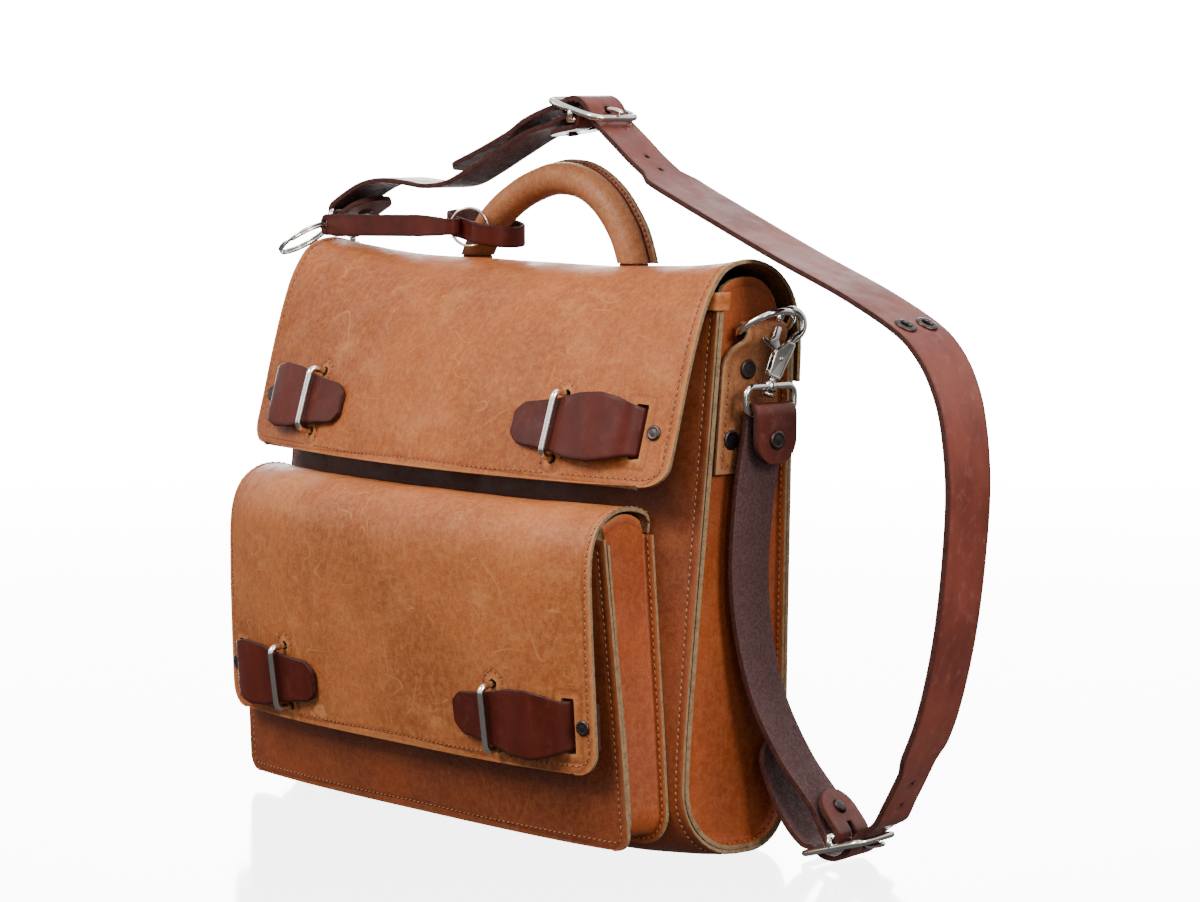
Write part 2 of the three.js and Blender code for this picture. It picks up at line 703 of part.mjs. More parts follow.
// D-ring: a bar under the patch's roll and a round bow that stands out from the end panel
function dRing(side) {
  const tilt = THREE.MathUtils.degToRad(side > 0 ? D_RING_TILT.right : D_RING_TILT.left);
  const out = new THREE.Vector3(side * Math.cos(tilt), 0, Math.sin(tilt));
  const alongBar = new THREE.Vector3(0, 1, 0);
  const centre = new THREE.Vector3(side * D_RING.x, D_RING.y, D_RING.z);
  const points = [];
  const bowSteps = 8;
  for (let i = 0; i <= bowSteps; i += 1) {
    const angle = THREE.MathUtils.lerp(-Math.PI / 2, Math.PI / 2, i / bowSteps);
    const point = centre.clone().addScaledVector(out, D_RING.depth * Math.cos(angle));
    points.push(point.addScaledVector(alongBar, D_RING.half * Math.sin(angle)));
  }
  for (const share of [0.5, -0.5]) {
    points.push(centre.clone().addScaledVector(alongBar, D_RING.half * share));
  }
  const normal = new THREE.Vector3().crossVectors(out, alongBar).normalize();
  return wire(points, normal, WIRE, true);
}

// Wire loop of a closure: both feet start at the leather behind, pass the flap, and end in a bar
function closureLoop(flap, behind, x, z) {
  const corner = 4;
  const half = LOOP_SPREAD / 2;
  const { point, normal, upward } = onFlap(flap, x, z);
  const bar = point.clone().addScaledVector(normal, LOOP_STAND);
  const end = (side) => bar.clone().addScaledVector(upward, side * half);
  const foot = (side) => {
    let length = 0;
    const tip = end(side);
    while (length < 60 && tip.y < behind(tip.x, tip.z) - LEATHER / 2 - 1.4) {
      tip.addScaledVector(normal, -0.2);
      length += 0.2;
    }
    return tip;
  };
  const bend = (side) => {
    const centre = end(side).addScaledVector(upward, -side * corner).addScaledVector(normal, -corner);
    return arc(centre, upward.clone().multiplyScalar(side), normal, corner, 0, 90, 3);
  };
  const points = [foot(1), ...bend(1), ...bend(-1).reverse(), foot(-1)];
  const plane = new THREE.Vector3().crossVectors(normal, upward).normalize();
  return { geometry: wire(points, plane, WIRE), holes: [points[1], points[points.length - 2]], normal };
}

// Closure tongue: riveted behind the flap, out through a slit, and under the loop's bar
function closureTongue(flap, side, { x, z }) {
  const stations = TONGUE.map(({ out, rise, half }) => {
    const { point, normal, upward } = onFlap(flap, side * (x + out), z);
    return { point: point.addScaledVector(normal, rise), half, across: upward };
  });
  return ribbon(stations, TONGUE_LEATHER);
}

// Buckle frames as places and directions: along the strap, across it, and out of the strap's loop
function buckleFrame({ at, slope, yaw, outer }) {
  const tilt = THREE.MathUtils.degToRad(slope);
  const turn = THREE.MathUtils.degToRad(yaw);
  const across = new THREE.Vector3(-Math.sin(turn), Math.cos(turn), 0);
  const level = Math.cos(tilt);
  const travel = new THREE.Vector3(level * Math.cos(turn), level * Math.sin(turn), Math.sin(tilt));
  const out = new THREE.Vector3().crossVectors(travel, across).multiplyScalar(outer);
  const centre = new THREE.Vector3(...at);
  const place = (t, o, w = 0) => {
    const point = centre.clone().addScaledVector(travel, t).addScaledVector(out, o);
    return point.addScaledVector(across, w);
  };
  return { travel, across, out, place };
}

// Centre-bar buckle: rounded frame whose side rails dip to carry the bar
function buckle(frame) {
  const { length, width, drop } = BUCKLE_HALF;
  const corner = 7;
  const inset = WIRE;
  const rail = width - inset;
  const end = length - inset;
  const corners = [
    { t: end - corner, w: rail - corner, from: 0 },
    { t: corner - end, w: rail - corner, from: 90 },
    { t: corner - end, w: corner - rail, from: 180 },
    { t: end - corner, w: corner - rail, from: 270 },
  ];
  const outline = corners.flatMap(({ t, w, from }) => {
    return arc(frame.place(t, 0, w), frame.travel, frame.across, corner, from, from + 90, 2);
  });
  const ring = wire(outline, frame.out, WIRE, true);
  const post = (side) => {
    const points = [frame.place(0, 0, side * rail), frame.place(0, -drop, side * rail)];
    return wire(points, frame.travel, WIRE);
  };
  const bar = wire([frame.place(0, -drop, -rail - 1), frame.place(0, -drop, rail + 1)], frame.travel, WIRE);
  return joinAll([ring, post(1), post(-1), bar]);
}

// Prong: starts over the bar, passes through the strap and rests on the end bar
function prong(frame) {
  const { length, drop } = BUCKLE_HALF;
  const rest = WIRE + 1.5 + GAP + 0.1;
  const points = [
    frame.place(-1, -drop + WIRE + 1.5 + GAP),
    frame.place(4, -1.4),
    frame.place(9, 0.8),
    frame.place(14, 3.4),
    frame.place(length - WIRE, rest),
    frame.place(length + 1, rest - 0.6),
  ];
  return wire(points, frame.across, 1.5);
}

// Strap folded round a bar: points from the run's side, round the far side, to the tab's side
function foldPoints(centre, run, outside) {
  const radius = WIRE + GAP + STRAP_LEATHER / 2 + 0.45;
  return arc(centre, outside, run.clone().negate(), radius, 0, 180, 6);
}

function row(point, half = NARROW) {
  return { x: point.x, y: point.y, z: point.z, half };
}

// The three lengths of the shoulder strap
const top = buckleFrame(BUCKLES.top);
const bottom = buckleFrame(BUCKLES.bottom);
const ALONG_Y = new THREE.Vector3(0, 1, 0);

function tabEnd(from, run, length) {
  return [0.5, 1].map((share) => row(from.clone().addScaledVector(run, length * share)));
}

// Rivet through a folded strap end, on the middle between its run and its tab
function tabRivet(centre, run, outside, reach) {
  const point = centre.clone().addScaledVector(run, reach);
  return { point, outside, stack: 2 * (WIRE + GAP + STRAP_LEATHER) + 1.4 };
}

// Slot in a fold for the prong of its buckle
function prongSlot(frame) {
  const matrix = new THREE.Matrix4().makeBasis(frame.travel, frame.out, frame.across);
  matrix.setPosition(frame.place(3, -BUCKLE_HALF.drop + 3));
  const slot = new THREE.BoxGeometry(11, 9, 4.4);
  if (matrix.determinant() < 0) {
    matrix.scale(new THREE.Vector3(1, 1, -1));
  }
  return slot.applyMatrix4(matrix);
}

const TOP_RUN = new THREE.Vector3(-1, 0, -0.17).normalize();
const TOP_OUT = new THREE.Vector3(-0.17, 0, 1).normalize();
const LEFT_RUN = new THREE.Vector3(0.915, 0, 0.4).normalize();
const LEFT_OUT = new THREE.Vector3(-0.4, 0, 0.915).normalize();
const LEFT_TAB = new THREE.Vector3(0.925, -0.06, 0.385).normalize();
const BOTTOM_RUN = new THREE.Vector3(-0.604, -0.14, 0.783).normalize();
const BOTTOM_OUT = new THREE.Vector3().crossVectors(bottom.across, BOTTOM_RUN).normalize().negate();
const RIGHT_RUN = new THREE.Vector3(0, 0, -1);
const RIGHT_OUT = new THREE.Vector3(-1, 0, 0);
const TAB_RIVET = 5.4; // head radius of the rivets through the folded strap ends
const TAB_RIVETS = {
  top: tabRivet(top.place(0, -BUCKLE_HALF.drop), TOP_RUN, TOP_OUT, 17.4),
  left: tabRivet(LEFT_BAR, LEFT_RUN, LEFT_OUT, 11.5),
  bottom: tabRivet(bottom.place(0, -BUCKLE_HALF.drop), BOTTOM_RUN, BOTTOM_OUT, 14),
  right: tabRivet(RIGHT_BAR, RIGHT_RUN, RIGHT_OUT.clone().negate(), 15),
};

function tabHoles(...rivets) {
  return rivets.map(({ point, outside }) => rivetPunch(point, outside, TAB_RIVET, 24));
}

function leftStrap() {
  const fold = foldPoints(top.place(0, -BUCKLE_HALF.drop), TOP_RUN, TOP_OUT).reverse();
  const tab = tabEnd(fold[0], TOP_RUN, TAB).reverse();
  const hookFold = foldPoints(LEFT_BAR, LEFT_RUN, LEFT_OUT);
  const route = [...tab, ...fold.map((p) => row(p)), ...STRAP_LEFT];
  route.push(...hookFold.map((p) => row(p)), ...tabEnd(hookFold[6], LEFT_TAB, TAB + 3));
  const strap = ribbon(stationsAlong(route, { from: top.across, to: ALONG_Y }, 1), STRAP_LEATHER);
  return cutAll(strap, [prongSlot(top), ...tabHoles(TAB_RIVETS.top, TAB_RIVETS.left)]);
}

function rightStrap() {
  const fold = foldPoints(bottom.place(0, -BUCKLE_HALF.drop), BOTTOM_RUN, BOTTOM_OUT).reverse();
  const tab = tabEnd(fold[0], BOTTOM_RUN, TAB - 3).reverse();
  const hookFold = foldPoints(RIGHT_BAR, RIGHT_RUN, RIGHT_OUT);
  const route = [...tab, ...fold.map((p) => row(p)), ...STRAP_RIGHT, ...hookFold.map((p) => row(p))];
  route.push(...tabEnd(hookFold[6], RIGHT_RUN, TAB));
  const strap = ribbon(stationsAlong(route, { from: bottom.across, to: ALONG_Y }, 1), STRAP_LEATHER);
  return cutAll(strap, [prongSlot(bottom), ...tabHoles(TAB_RIVETS.bottom, TAB_RIVETS.right)]);
}

// The long strap's way through a buckle: under both end bars and over the middle one
const PASSES = [
  { t: 20, o: -4.9 },
  { t: 14, o: -2.2 },
  { t: 8, o: 3.6 },
  { t: 0, o: 6.2 },
  { t: -8, o: 3.6 },
  { t: -14, o: -2.2 },
  { t: -20, o: -4.9 },
];
const EYELET_ROW = 7; // row of the shoulder part that carries the two eyelets
const EYELET_SPREAD = 9;
function shoulderStrap() {
  const through = (frame) => PASSES.map(({ t, o }) => row(frame.place(t, o)));
  const lead = [...TAIL_TOP.map((p) => row(p)).reverse(), ...through(top).reverse()];
  const route = [...lead, ...SHOULDER, ...through(bottom), ...TAIL_BOTTOM.map((p) => row(p))];
  const stations = stationsAlong(route, { from: top.across, to: bottom.across }, 1);
  const travel = tangents(stations.map((station) => station.point));
  const spot = lead.length + EYELET_ROW;
  const { point, across } = stations[spot];
  const outside = new THREE.Vector3().crossVectors(travel[spot], across).normalize();
  const eyelets = [-EYELET_SPREAD, EYELET_SPREAD].map((w) => point.clone().addScaledVector(across, w));
  const prongHoles = [top, bottom].map((frame) => {
    const direction = frame.travel.clone().multiplyScalar(0.6).addScaledVector(frame.out, 0.8);
    return punch(frame.place(10.8, 1.4), direction, 3.4, 12);
  });
  const holes = eyelets.map((place) => punch(place, outside, 4.5, 10));
  return { geometry: cutAll(ribbon(stations, STRAP_LEATHER), [...holes, ...prongHoles]), eyelets, outside };
}

// Trigger snap hook in its own frame: u to the side of the gate's back, w up to the bow, n off its face
const SNAP = {
  bowCentre: 21,
  bowRadius: 7.9,
  bowWire: 2.3,
  cheek: 1.4,
  slot: 3,
  shankTop: 11,
  shankBottom: -11,
  pin: 1.2,
};
function hookFrame({ bar, ring, yaw, side }) {
  const turn = THREE.MathUtils.degToRad(yaw);
  const sideways = new THREE.Vector3(Math.cos(turn), Math.sin(turn), 0);
  const eye = new THREE.Vector3(...ring);
  const neck = bar.clone().add(new THREE.Vector3(0, 0, side * SWIVEL_HEIGHT));
  const up = eye.clone().sub(neck).normalize();
  const face = new THREE.Vector3().crossVectors(sideways, up).normalize();
  const aside = new THREE.Vector3().crossVectors(up, face).normalize();
  const matrix = new THREE.Matrix4().makeBasis(aside, up, face);
  matrix.setPosition(neck.clone().addScaledVector(up, 5 - SNAP.shankBottom));
  return { matrix, up, swivel: neck };
}

// Flat plate in the hook's frame, from its outline
function plate(outline, thickness, offset) {
  const shape = new THREE.Shape(outline.map(([u, w]) => new THREE.Vector2(u, w)));
  const geometry = new THREE.ExtrudeGeometry(shape, { depth: thickness, bevelEnabled: false });
  return geometry.translate(0, 0, offset - thickness / 2);
}

const FACE = new THREE.Vector3(0, 0, 1);
function hookBody() {
  const { bowCentre, bowRadius, bowWire, cheek, slot, shankTop, shankBottom } = SNAP;
  const centre = new THREE.Vector3(0.6, bowCentre, 0);
  const bow = arc(centre, new THREE.Vector3(1, 0, 0), new THREE.Vector3(0, 1, 0), bowRadius, -52, 192, 11);
  const curl = wire([new THREE.Vector3(2.4, shankTop - 4, 0), ...bow], FACE, bowWire);
  const back = [[3.6, shankBottom], [4.6, -2], [6, 6], [6, shankTop]];
  const outline = [[-4.4, shankBottom], ...back, [1.6, shankTop], [-4.6, 3]];
  const cheeks = [1, -1].map((n) => plate(outline, cheek, (n * (slot + cheek)) / 2));
  const rib = plate([[2.8, shankBottom], ...back, [3.6, shankTop], [3.2, 0]], slot + 0.4, 0);
  const foot = plate([[-4.4, shankBottom], [3.6, shankBottom], [3.6, -7], [-4.4, -7]], slot + 0.4, 0);
  const pin = new THREE.CylinderGeometry(SNAP.pin, SNAP.pin, slot + 2 * cheek + 0.8, 6).rotateX(Math.PI / 2);
  const neck = new THREE.CylinderGeometry(2, 2, 3.2, 6).translate(0, shankBottom - 1.5, 0);
  const button = new THREE.CylinderGeometry(3.6, 3.6, 2, 6).translate(0, shankBottom - 10.2, 0);
  const stem = new THREE.CylinderGeometry(1.7, 1.7, 10, 6).translate(0, shankBottom - 6, 0);
  return joinAll([curl, ...cheeks, rib, foot, pin, neck, stem, button]);
}

// Gate of the hook: an arm up to the bow's tip and a thumb lever out to the side
function hookGate() {
  const arm = [
    [-2.2, -2.4], [2, -2.2], [2.2, 2], [-1.4, 5.6], [-4.2, 9.6], [-4.6, 16.8],
    [-8.2, 16.8], [-8.4, 10], [-9.6, 7.6], [-13.6, 8.2], [-14, 6.2], [-9.6, 4.8], [-5.4, 3.4],
  ];
  const hole = new THREE.CylinderGeometry(SNAP.pin + GAP, SNAP.pin + GAP, 8, 8).rotateX(Math.PI / 2);
  return cutAll(plate(arm, SNAP.slot - 2 * GAP, 0), [hole]);
}

// Strap loop of the hook, turning on the hook's stem
function swivelLoop({ swivel, up }, bar) {
  const across = ALONG_Y.clone();
  const drop = bar.clone().sub(swivel);
  const rise = drop.clone().negate().normalize();
  const corner = 5;
  const height = drop.length();
  const points = [];
  const corners = [
    { w: 1, h: 0, from: 0 },
    { w: -1, h: 0, from: 90 },
    { w: -1, h: 1, from: 180 },
    { w: 1, h: 1, from: 270 },
  ];
  for (const { w, h, from } of corners) {
    const centre = swivel.clone().addScaledVector(across, w * (SWIVEL_HALF - corner));
    centre.addScaledVector(rise, h ? corner - height : -corner);
    points.push(...arc(centre, across, rise, corner, from, from + 90, 2));
  }
  const normal = new THREE.Vector3().crossVectors(across, rise).normalize();
  const frame = wire(points, normal, WIRE, true);
  const collar = new THREE.CylinderGeometry(4.2, 4.2, 4.4, 8);
  collar.applyQuaternion(turnTo(up)).translate(swivel.x, swivel.y, swivel.z);
  const bore = new THREE.CylinderGeometry(2.3, 2.3, 12, 8);
  bore.applyQuaternion(turnTo(up)).translate(swivel.x, swivel.y, swivel.z);
  return cutAll(joinAll([frame, collar]), [bore]);
}

// Rolled handle with its sewn fin on the upper rear side
function handleGrip() {
  const points = HANDLE.map(({ x, z }) => new THREE.Vector3(x, HANDLE_Y, z));
  const curve = new THREE.CatmullRomCurve3(points, false, 'centripetal');
  const path = curve.getPoints(16);
  const travel = tangents(path);
  const finAngle = THREE.MathUtils.degToRad(42);
  const rings = path.map((point, i) => {
    const radial = new THREE.Vector3().crossVectors(travel[i], ALONG_Y).multiplyScalar(-1);
    radial.multiplyScalar(Math.sign(radial.z + 1e-6 + radial.x * Math.sign(point.x)));
    const ring = [];
    for (let s = 0; s < 10; s += 1) {
      const angle = finAngle + (2 * Math.PI * s) / 10;
      const reach = s === 0 ? HANDLE_RADIUS + HANDLE_FIN : HANDLE_RADIUS;
      const offset = radial.clone().multiplyScalar(Math.cos(angle) * reach);
      ring.push(point.clone().add(offset.addScaledVector(ALONG_Y, Math.sin(angle) * reach)));
    }
    return ring;
  });
  const below = new THREE.BoxGeometry(240, 80, 60).translate(0, HANDLE_Y, HANDLE_FOOT - 30);
  return cutAll(loft(rings), [below]);
}

// Height of the main flap's upper side over a place on its top
function flapTop(x, y) {
  let low = 0.12;
  let high = 0.42;
  for (let i = 0; i < 30; i += 1) {
    const v = (low + high) / 2;
    if (flapPoint(x / FLAP_HALF, v).y > y) {
      low = v;
    } else {
      high = v;
    }
  }
  return flapPoint(x / FLAP_HALF, low).z + LEATHER / 2;
}

// Stub of leather that carries an end of the handle on the flap
function handleStub(x, long) {
  const ring = (z) => {
    return Array.from({ length: 10 }, (_, s) => {
      const angle = (2 * Math.PI * s) / 10;
      const px = x + long * Math.cos(angle);
      const py = HANDLE_Y + 8 * Math.sin(angle);
      return new THREE.Vector3(px, py, z ?? flapTop(px, py) + GAP + 0.4);
    });
  };
  return loft([ring(null), ring(HANDLE_FOOT - GAP)]);
}

// Key strap: a band round the handle's foot, a ring, a flat strap and a ring for keys
const KEY_BAND = { left: -83.5, right: -32, front: 6, rear: 39, half: 6.2, z: 340.6, fall: -0.18 };
function keyBand() {
  const { left, right, front, rear, half, z, fall } = KEY_BAND;
  const radius = (rear - front) / 2;
  const middle = (front + rear) / 2;
  const ends = [
    { x: right - radius, from: -90 },
    { x: left + radius, from: 90 },
  ];
  const path = ends.flatMap(({ x, from }) => {
    const centre = new THREE.Vector3(x, middle, 0);
    return arc(centre, new THREE.Vector3(1, 0, 0), ALONG_Y, radius, from, from + 180, 6);
  });
  const rings = path.map((point, i) => {
    const travel = tangents(path, true)[i];
    const out = new THREE.Vector3(travel.y, -travel.x, 0).multiplyScalar(TONGUE_LEATHER / 2);
    const height = z + fall * (point.x - (left + right) / 2);
    return [[1, half], [1, -half], [-1, -half], [-1, half]].map(([side, dz]) => {
      return new THREE.Vector3(point.x + side * out.x, point.y + side * out.y, height + dz);
    });
  });
  return loft(rings, true);
}

function ringAt(centre, normal, radius, thickness) {
  const geometry = new THREE.TorusGeometry(radius, thickness, 5, 14);
  const turn = new THREE.Quaternion().setFromUnitVectors(FACE, normal.clone().normalize());
  return geometry.applyQuaternion(turn).translate(centre.x, centre.y, centre.z);
}

const INNER_RING = {
  centre: new THREE.Vector3(-53, 6, 342),
  normal: new THREE.Vector3(0.6, -0.8, 0),
  radius: 11.3,
};
const KEY_RING = {
  centre: new THREE.Vector3(-199.3, -8.6, 331),
  normal: new THREE.Vector3(-0.485, -0.22, 0.846),
  radius: 16.6,
};
const KEY_FOLD = 4; // radius of the key strap's fold round the inner ring's wire
const KEY_STRAP = [
  { x: -88, y: -4.6, z: 342, half: 6.6 },
  { x: -112, y: -4, z: 341.4, half: 6.6 },
  { x: -140, y: -2.8, z: 340.6, half: 6.6 },
  { x: -165, y: -1.4, z: 340, half: 6.6 },
  { x: -188, y: -0.1, z: 339.6, half: 6.6 },
  { x: -192, y: 0.1, z: 339.6, half: 4.5 },
];
function keyStrap() {
  const upright = new THREE.Vector3(0, 0, 1);
  const side = new THREE.Vector3(-0.8, -0.6, 0).multiplyScalar(INNER_RING.radius);
  const held = INNER_RING.centre.clone().add(side);
  const fold = arc(held, ALONG_Y, new THREE.Vector3(1, 0, 0), KEY_FOLD, 0, 180, 6);
  const tabEnd = new THREE.Vector3(held.x - 11, held.y + 1.4, held.z);
  const tabStart = new THREE.Vector3(held.x - 5, held.y + 3.2, held.z);
  const route = [tabEnd, tabStart, ...fold].map((p) => row(p, 4.8));
  route.push({ x: held.x - 8, y: held.y - 3.6, z: held.z, half: 5.6 }, ...KEY_STRAP);
  const strap = ribbon(stationsAlong(route, { from: upright, to: upright }, 1), TONGUE_LEATHER);
  const { x, y, z } = KEY_STRAP[4];
  const direction = new THREE.Vector3(0.06, -1, 0).normalize();
  return cutAll(strap, [punch(new THREE.Vector3(x, y, z), direction, 3.9, 12)]);
}

// Eyelet through the shoulder strap, its wide flange on the outside
function eyelet(point, direction) {
  const outer = STRAP_LEATHER / 2 + GAP;
  const inner = outer + 1;
  const profile = [
    new THREE.Vector2(3.3, -inner - 0.8),
    new THREE.Vector2(5.2, -inner - 0.8),
    new THREE.Vector2(5.2, -inner),
    new THREE.Vector2(4.1, -inner),
    new THREE.Vector2(4.1, outer),
    new THREE.Vector2(6.4, outer),
    new THREE.Vector2(3.3, outer + 1),
    new THREE.Vector2(3.3, -inner - 0.8),
  ];
  const geometry = new THREE.LatheGeometry(profile, 8);
  return geometry.applyQuaternion(turnTo(direction)).translate(point.x, point.y, point.z);
}

// Assembly
const SIDES = [
  { name: 'right', side: 1 },
  { name: 'left', side: -1 },
];
addPiece('case_wrap', caseWrap(), 'tan');

const flaps = {
  main: { point: flapPoint, behind: frontY, geometry: flapSheet(flapPoint, FLAP_ROWS), name: 'main_flap' },
  pocket: {
    point: pocketFlapPoint,
    behind: pocketY,
    geometry: flapSheet(pocketFlapPoint, POCKET_FLAP_ROWS),
    name: 'pocket_flap',
  },
};
for (const closure of CLOSURES) {
  const flap = flaps[closure.name];
  const cuts = [];
  for (const { name, side } of SIDES) {
    const label = `${closure.name}_${name}`;
    const { x, z } = closure;
    const { geometry, holes, normal } = closureLoop(flap.point, flap.behind, side * x, z);
    addPiece(`loop_${label}`, geometry, 'nickel');
    cuts.push(...holes.map((hole) => punch(hole, normal, WIRE + 1.4, 2 * LOOP_STAND + 12)));
    const slit = onFlap(flap.point, side * closure.slit, z);
    const slot = new THREE.BoxGeometry(11, 12, 32).applyQuaternion(turnTo(slit.normal.clone().negate()));
    cuts.push(slot.translate(slit.point.x, slit.point.y, slit.point.z));
    const { point: spot, normal: off } = onFlap(flap.point, side * closure.rivet, z);
    const stack = LEATHER + TONGUE_LEATHER + 2.1;
    const middle = spot.clone().addScaledVector(off, -stack / 2);
    addPiece(`tongue_rivet_${label}`, rivet(middle, off, 4.4, stack), 'gunmetal');
    const hole = rivetPunch(middle, off, 4.4, 20);
    cuts.push(hole);
    addPiece(`tongue_${label}`, cutAll(closureTongue(flap.point, side, closure), [hole]), 'dark');
  }
  addPiece(flap.name, cutAll(flap.geometry, cuts), 'tan');
}
addPiece('pocket_front', pocketFront(), 'tan');
addPiece('pocket_gusset', pocketGusset(), 'sideTan');

for (const { name, side } of SIDES) {
  const outward = new THREE.Vector3(side, 0, 0);
  const spots = PATCH_RIVETS.map(({ y, z }) => new THREE.Vector3(side * 184.95, y, z));
  const holes = spots.map((spot) => rivetPunch(spot, outward, 5.6, 20));
  const stack = 2 * LEATHER + 1.6;
  addPiece(`side_panel_${name}`, cutAll(endPanel(side), holes), 'sideTan');
  addPiece(`ring_patch_${name}`, cutAll(ringPatch(side), holes), 'tan');
  addPiece(`seam_tab_${name}`, seamTab(side), 'tan');
  addPiece(`d_ring_${name}`, dRing(side), 'nickel');
  spots.forEach((spot, i) => {
    addPiece(`patch_rivet_${name}_${PATCH_RIVETS[i].name}`, rivet(spot, outward, 5.6, stack), 'gunmetal');
  });
  const frame = hookFrame(HOOKS[name]);
  const group = new THREE.Group();
  group.applyMatrix4(frame.matrix);
  briefcase.add(group);
  addPiece(`hook_${name}`, hookBody(), 'nickel', group);
  addPiece(`gate_${name}`, hookGate(), 'nickel', group);
  addPiece(`swivel_${name}`, swivelLoop(frame, HOOKS[name].bar), 'nickel');
}

addPiece('handle_grip', handleGrip(), 'tan');
addPiece('handle_stub_left', handleStub(-70, 10), 'tan');
addPiece('handle_stub_right', handleStub(73.5, 9), 'tan');
addPiece('key_band', keyBand(), 'dark');
addPiece('key_strap', keyStrap(), 'dark');
addPiece('key_ring_inner', ringAt(INNER_RING.centre, INNER_RING.normal, INNER_RING.radius, 1.3), 'nickel');
addPiece('key_ring_outer', ringAt(KEY_RING.centre, KEY_RING.normal, KEY_RING.radius, 1.5), 'nickel');

addPiece('buckle_top', buckle(top), 'nickel');
addPiece('buckle_bottom', buckle(bottom), 'nickel');
addPiece('prong_top', prong(top), 'nickel');
addPiece('prong_bottom', prong(bottom), 'nickel');
addPiece('strap_left', leftStrap(), 'strap');
addPiece('strap_right', rightStrap(), 'strap');
const shoulder = shoulderStrap();
addPiece('strap_shoulder', shoulder.geometry, 'strap');
addPiece('eyelet_front', eyelet(shoulder.eyelets[0], shoulder.outside), 'gunmetal');
addPiece('eyelet_rear', eyelet(shoulder.eyelets[1], shoulder.outside), 'gunmetal');
for (const [name, { point, outside, stack }] of Object.entries(TAB_RIVETS)) {
  addPiece(`strap_rivet_${name}`, rivet(point, outside, TAB_RIVET, stack), 'gunmetal');
}

export default briefcase;
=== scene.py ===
"""Looks of a worn tan leather briefcase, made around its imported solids.

Sizes are millimetres in the part's own frame, +Z up and the front facing -Y. A piece's mesh becomes
metres when the piece is finished.
"""

from __future__ import annotations

import logging
from collections.abc import Callable, Sequence
from dataclasses import dataclass, field
from enum import Enum
from math import atan2, copysign, cos, degrees, exp, hypot, pi, radians, sin, sqrt

import bmesh
import bpy
from mathutils import Matrix, Vector, noise
from mathutils.bvhtree import BVHTree


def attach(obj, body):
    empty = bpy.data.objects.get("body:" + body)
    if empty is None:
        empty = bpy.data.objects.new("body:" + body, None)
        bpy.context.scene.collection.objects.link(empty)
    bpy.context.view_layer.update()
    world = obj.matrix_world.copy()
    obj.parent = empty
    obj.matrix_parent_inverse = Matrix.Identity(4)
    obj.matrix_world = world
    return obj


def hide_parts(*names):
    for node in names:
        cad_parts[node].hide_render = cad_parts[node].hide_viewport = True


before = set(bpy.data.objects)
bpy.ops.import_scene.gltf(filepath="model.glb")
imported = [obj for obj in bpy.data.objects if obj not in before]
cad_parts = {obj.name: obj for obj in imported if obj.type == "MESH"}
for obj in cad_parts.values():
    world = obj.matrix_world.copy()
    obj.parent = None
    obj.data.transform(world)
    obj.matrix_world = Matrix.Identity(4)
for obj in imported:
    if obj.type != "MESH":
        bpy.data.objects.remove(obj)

LOG = logging.getLogger("briefcase")
MM = 0.001
X_AXIS, Y_AXIS, Z_AXIS = Vector((1, 0, 0)), Vector((0, 1, 0)), Vector((0, 0, 1))
Mesh, Vert, Edge = bmesh.types.BMesh, bmesh.types.BMVert, bmesh.types.BMEdge
Material, Piece, Socket = bpy.types.Material, bpy.types.Object, bpy.types.NodeSocket
Triple = tuple[float, float, float]
Line = list[Vector]
Grid = list[Line]
Skin = tuple[Vector, Vector]
Surface = Callable[[float, float], Vector]
Route = Sequence[tuple[Vector, float]]

HALF_WIDTH = 190.0
LEATHER = 2.4
THIN_LEATHER = 1.6
TONGUE_LEATHER = 2.6
STRAP_LEATHER = 3.0
GAP = 0.3
SEAM = 4.8
WIRE = 2.0
NARROW = 15.0
WIDE = 20.0


class Side(Enum):
    """The two ends of the case."""

    LEFT = -1
    RIGHT = 1

    @property
    def label(self) -> str:
        """Name of the side in node names."""
        return self.name.lower()


class Body(Enum):
    """Bodies that a piece can ride on."""

    CASE = "case"
    LEFT_GATE = "left_gate"
    RIGHT_GATE = "right_gate"


class Slot(Enum):
    """The record's material slots."""

    TAN = "tan_leather"
    SIDE = "side_leather"
    DARK = "dark_leather"
    STRAP = "strap_leather"
    NICKEL = "nickel"
    GUNMETAL = "gunmetal"


@dataclass(frozen=True)
class Table:
    """Named columns of values against the first column."""

    columns: tuple[str, ...]
    rows: tuple[tuple[float, ...], ...]

    def at(self, column: str, where: float) -> float:
        """Smooth value of a column.

        Args:
            column: Name of the column.
            where: Value of the first column.

        Returns:
            The column's value on a smooth curve through its rows.
        """
        place = self.columns.index(column)
        rows = self.rows
        last = len(rows) - 1
        i = 0
        while i < last - 1 and where > rows[i + 1][0]:
            i += 1

        def slope(k: int) -> float:
            """Slope of the curve at a row."""
            before, after = rows[max(k - 1, 0)], rows[min(k + 1, last)]
            return (after[place] - before[place]) / (after[0] - before[0])

        span = rows[i + 1][0] - rows[i][0]
        t = min(max((where - rows[i][0]) / span, 0.0), 1.0)
        start = rows[i][place] * (1 + 2 * t) * (1 - t) ** 2 + slope(i) * span * t * (1 - t) ** 2
        return start + rows[i + 1][place] * t * t * (3 - 2 * t) - slope(i + 1) * span * t * t * (1 - t)

    def straight(self, column: str, where: float) -> float:
        """Value of a column on straight lines between its rows."""
        place = self.columns.index(column)
        for low, high in zip(self.rows, self.rows[1:]):
            if where <= high[0]:
                return lerp(low[place], high[place], (where - low[0]) / (high[0] - low[0]))
        return self.rows[-1][place]


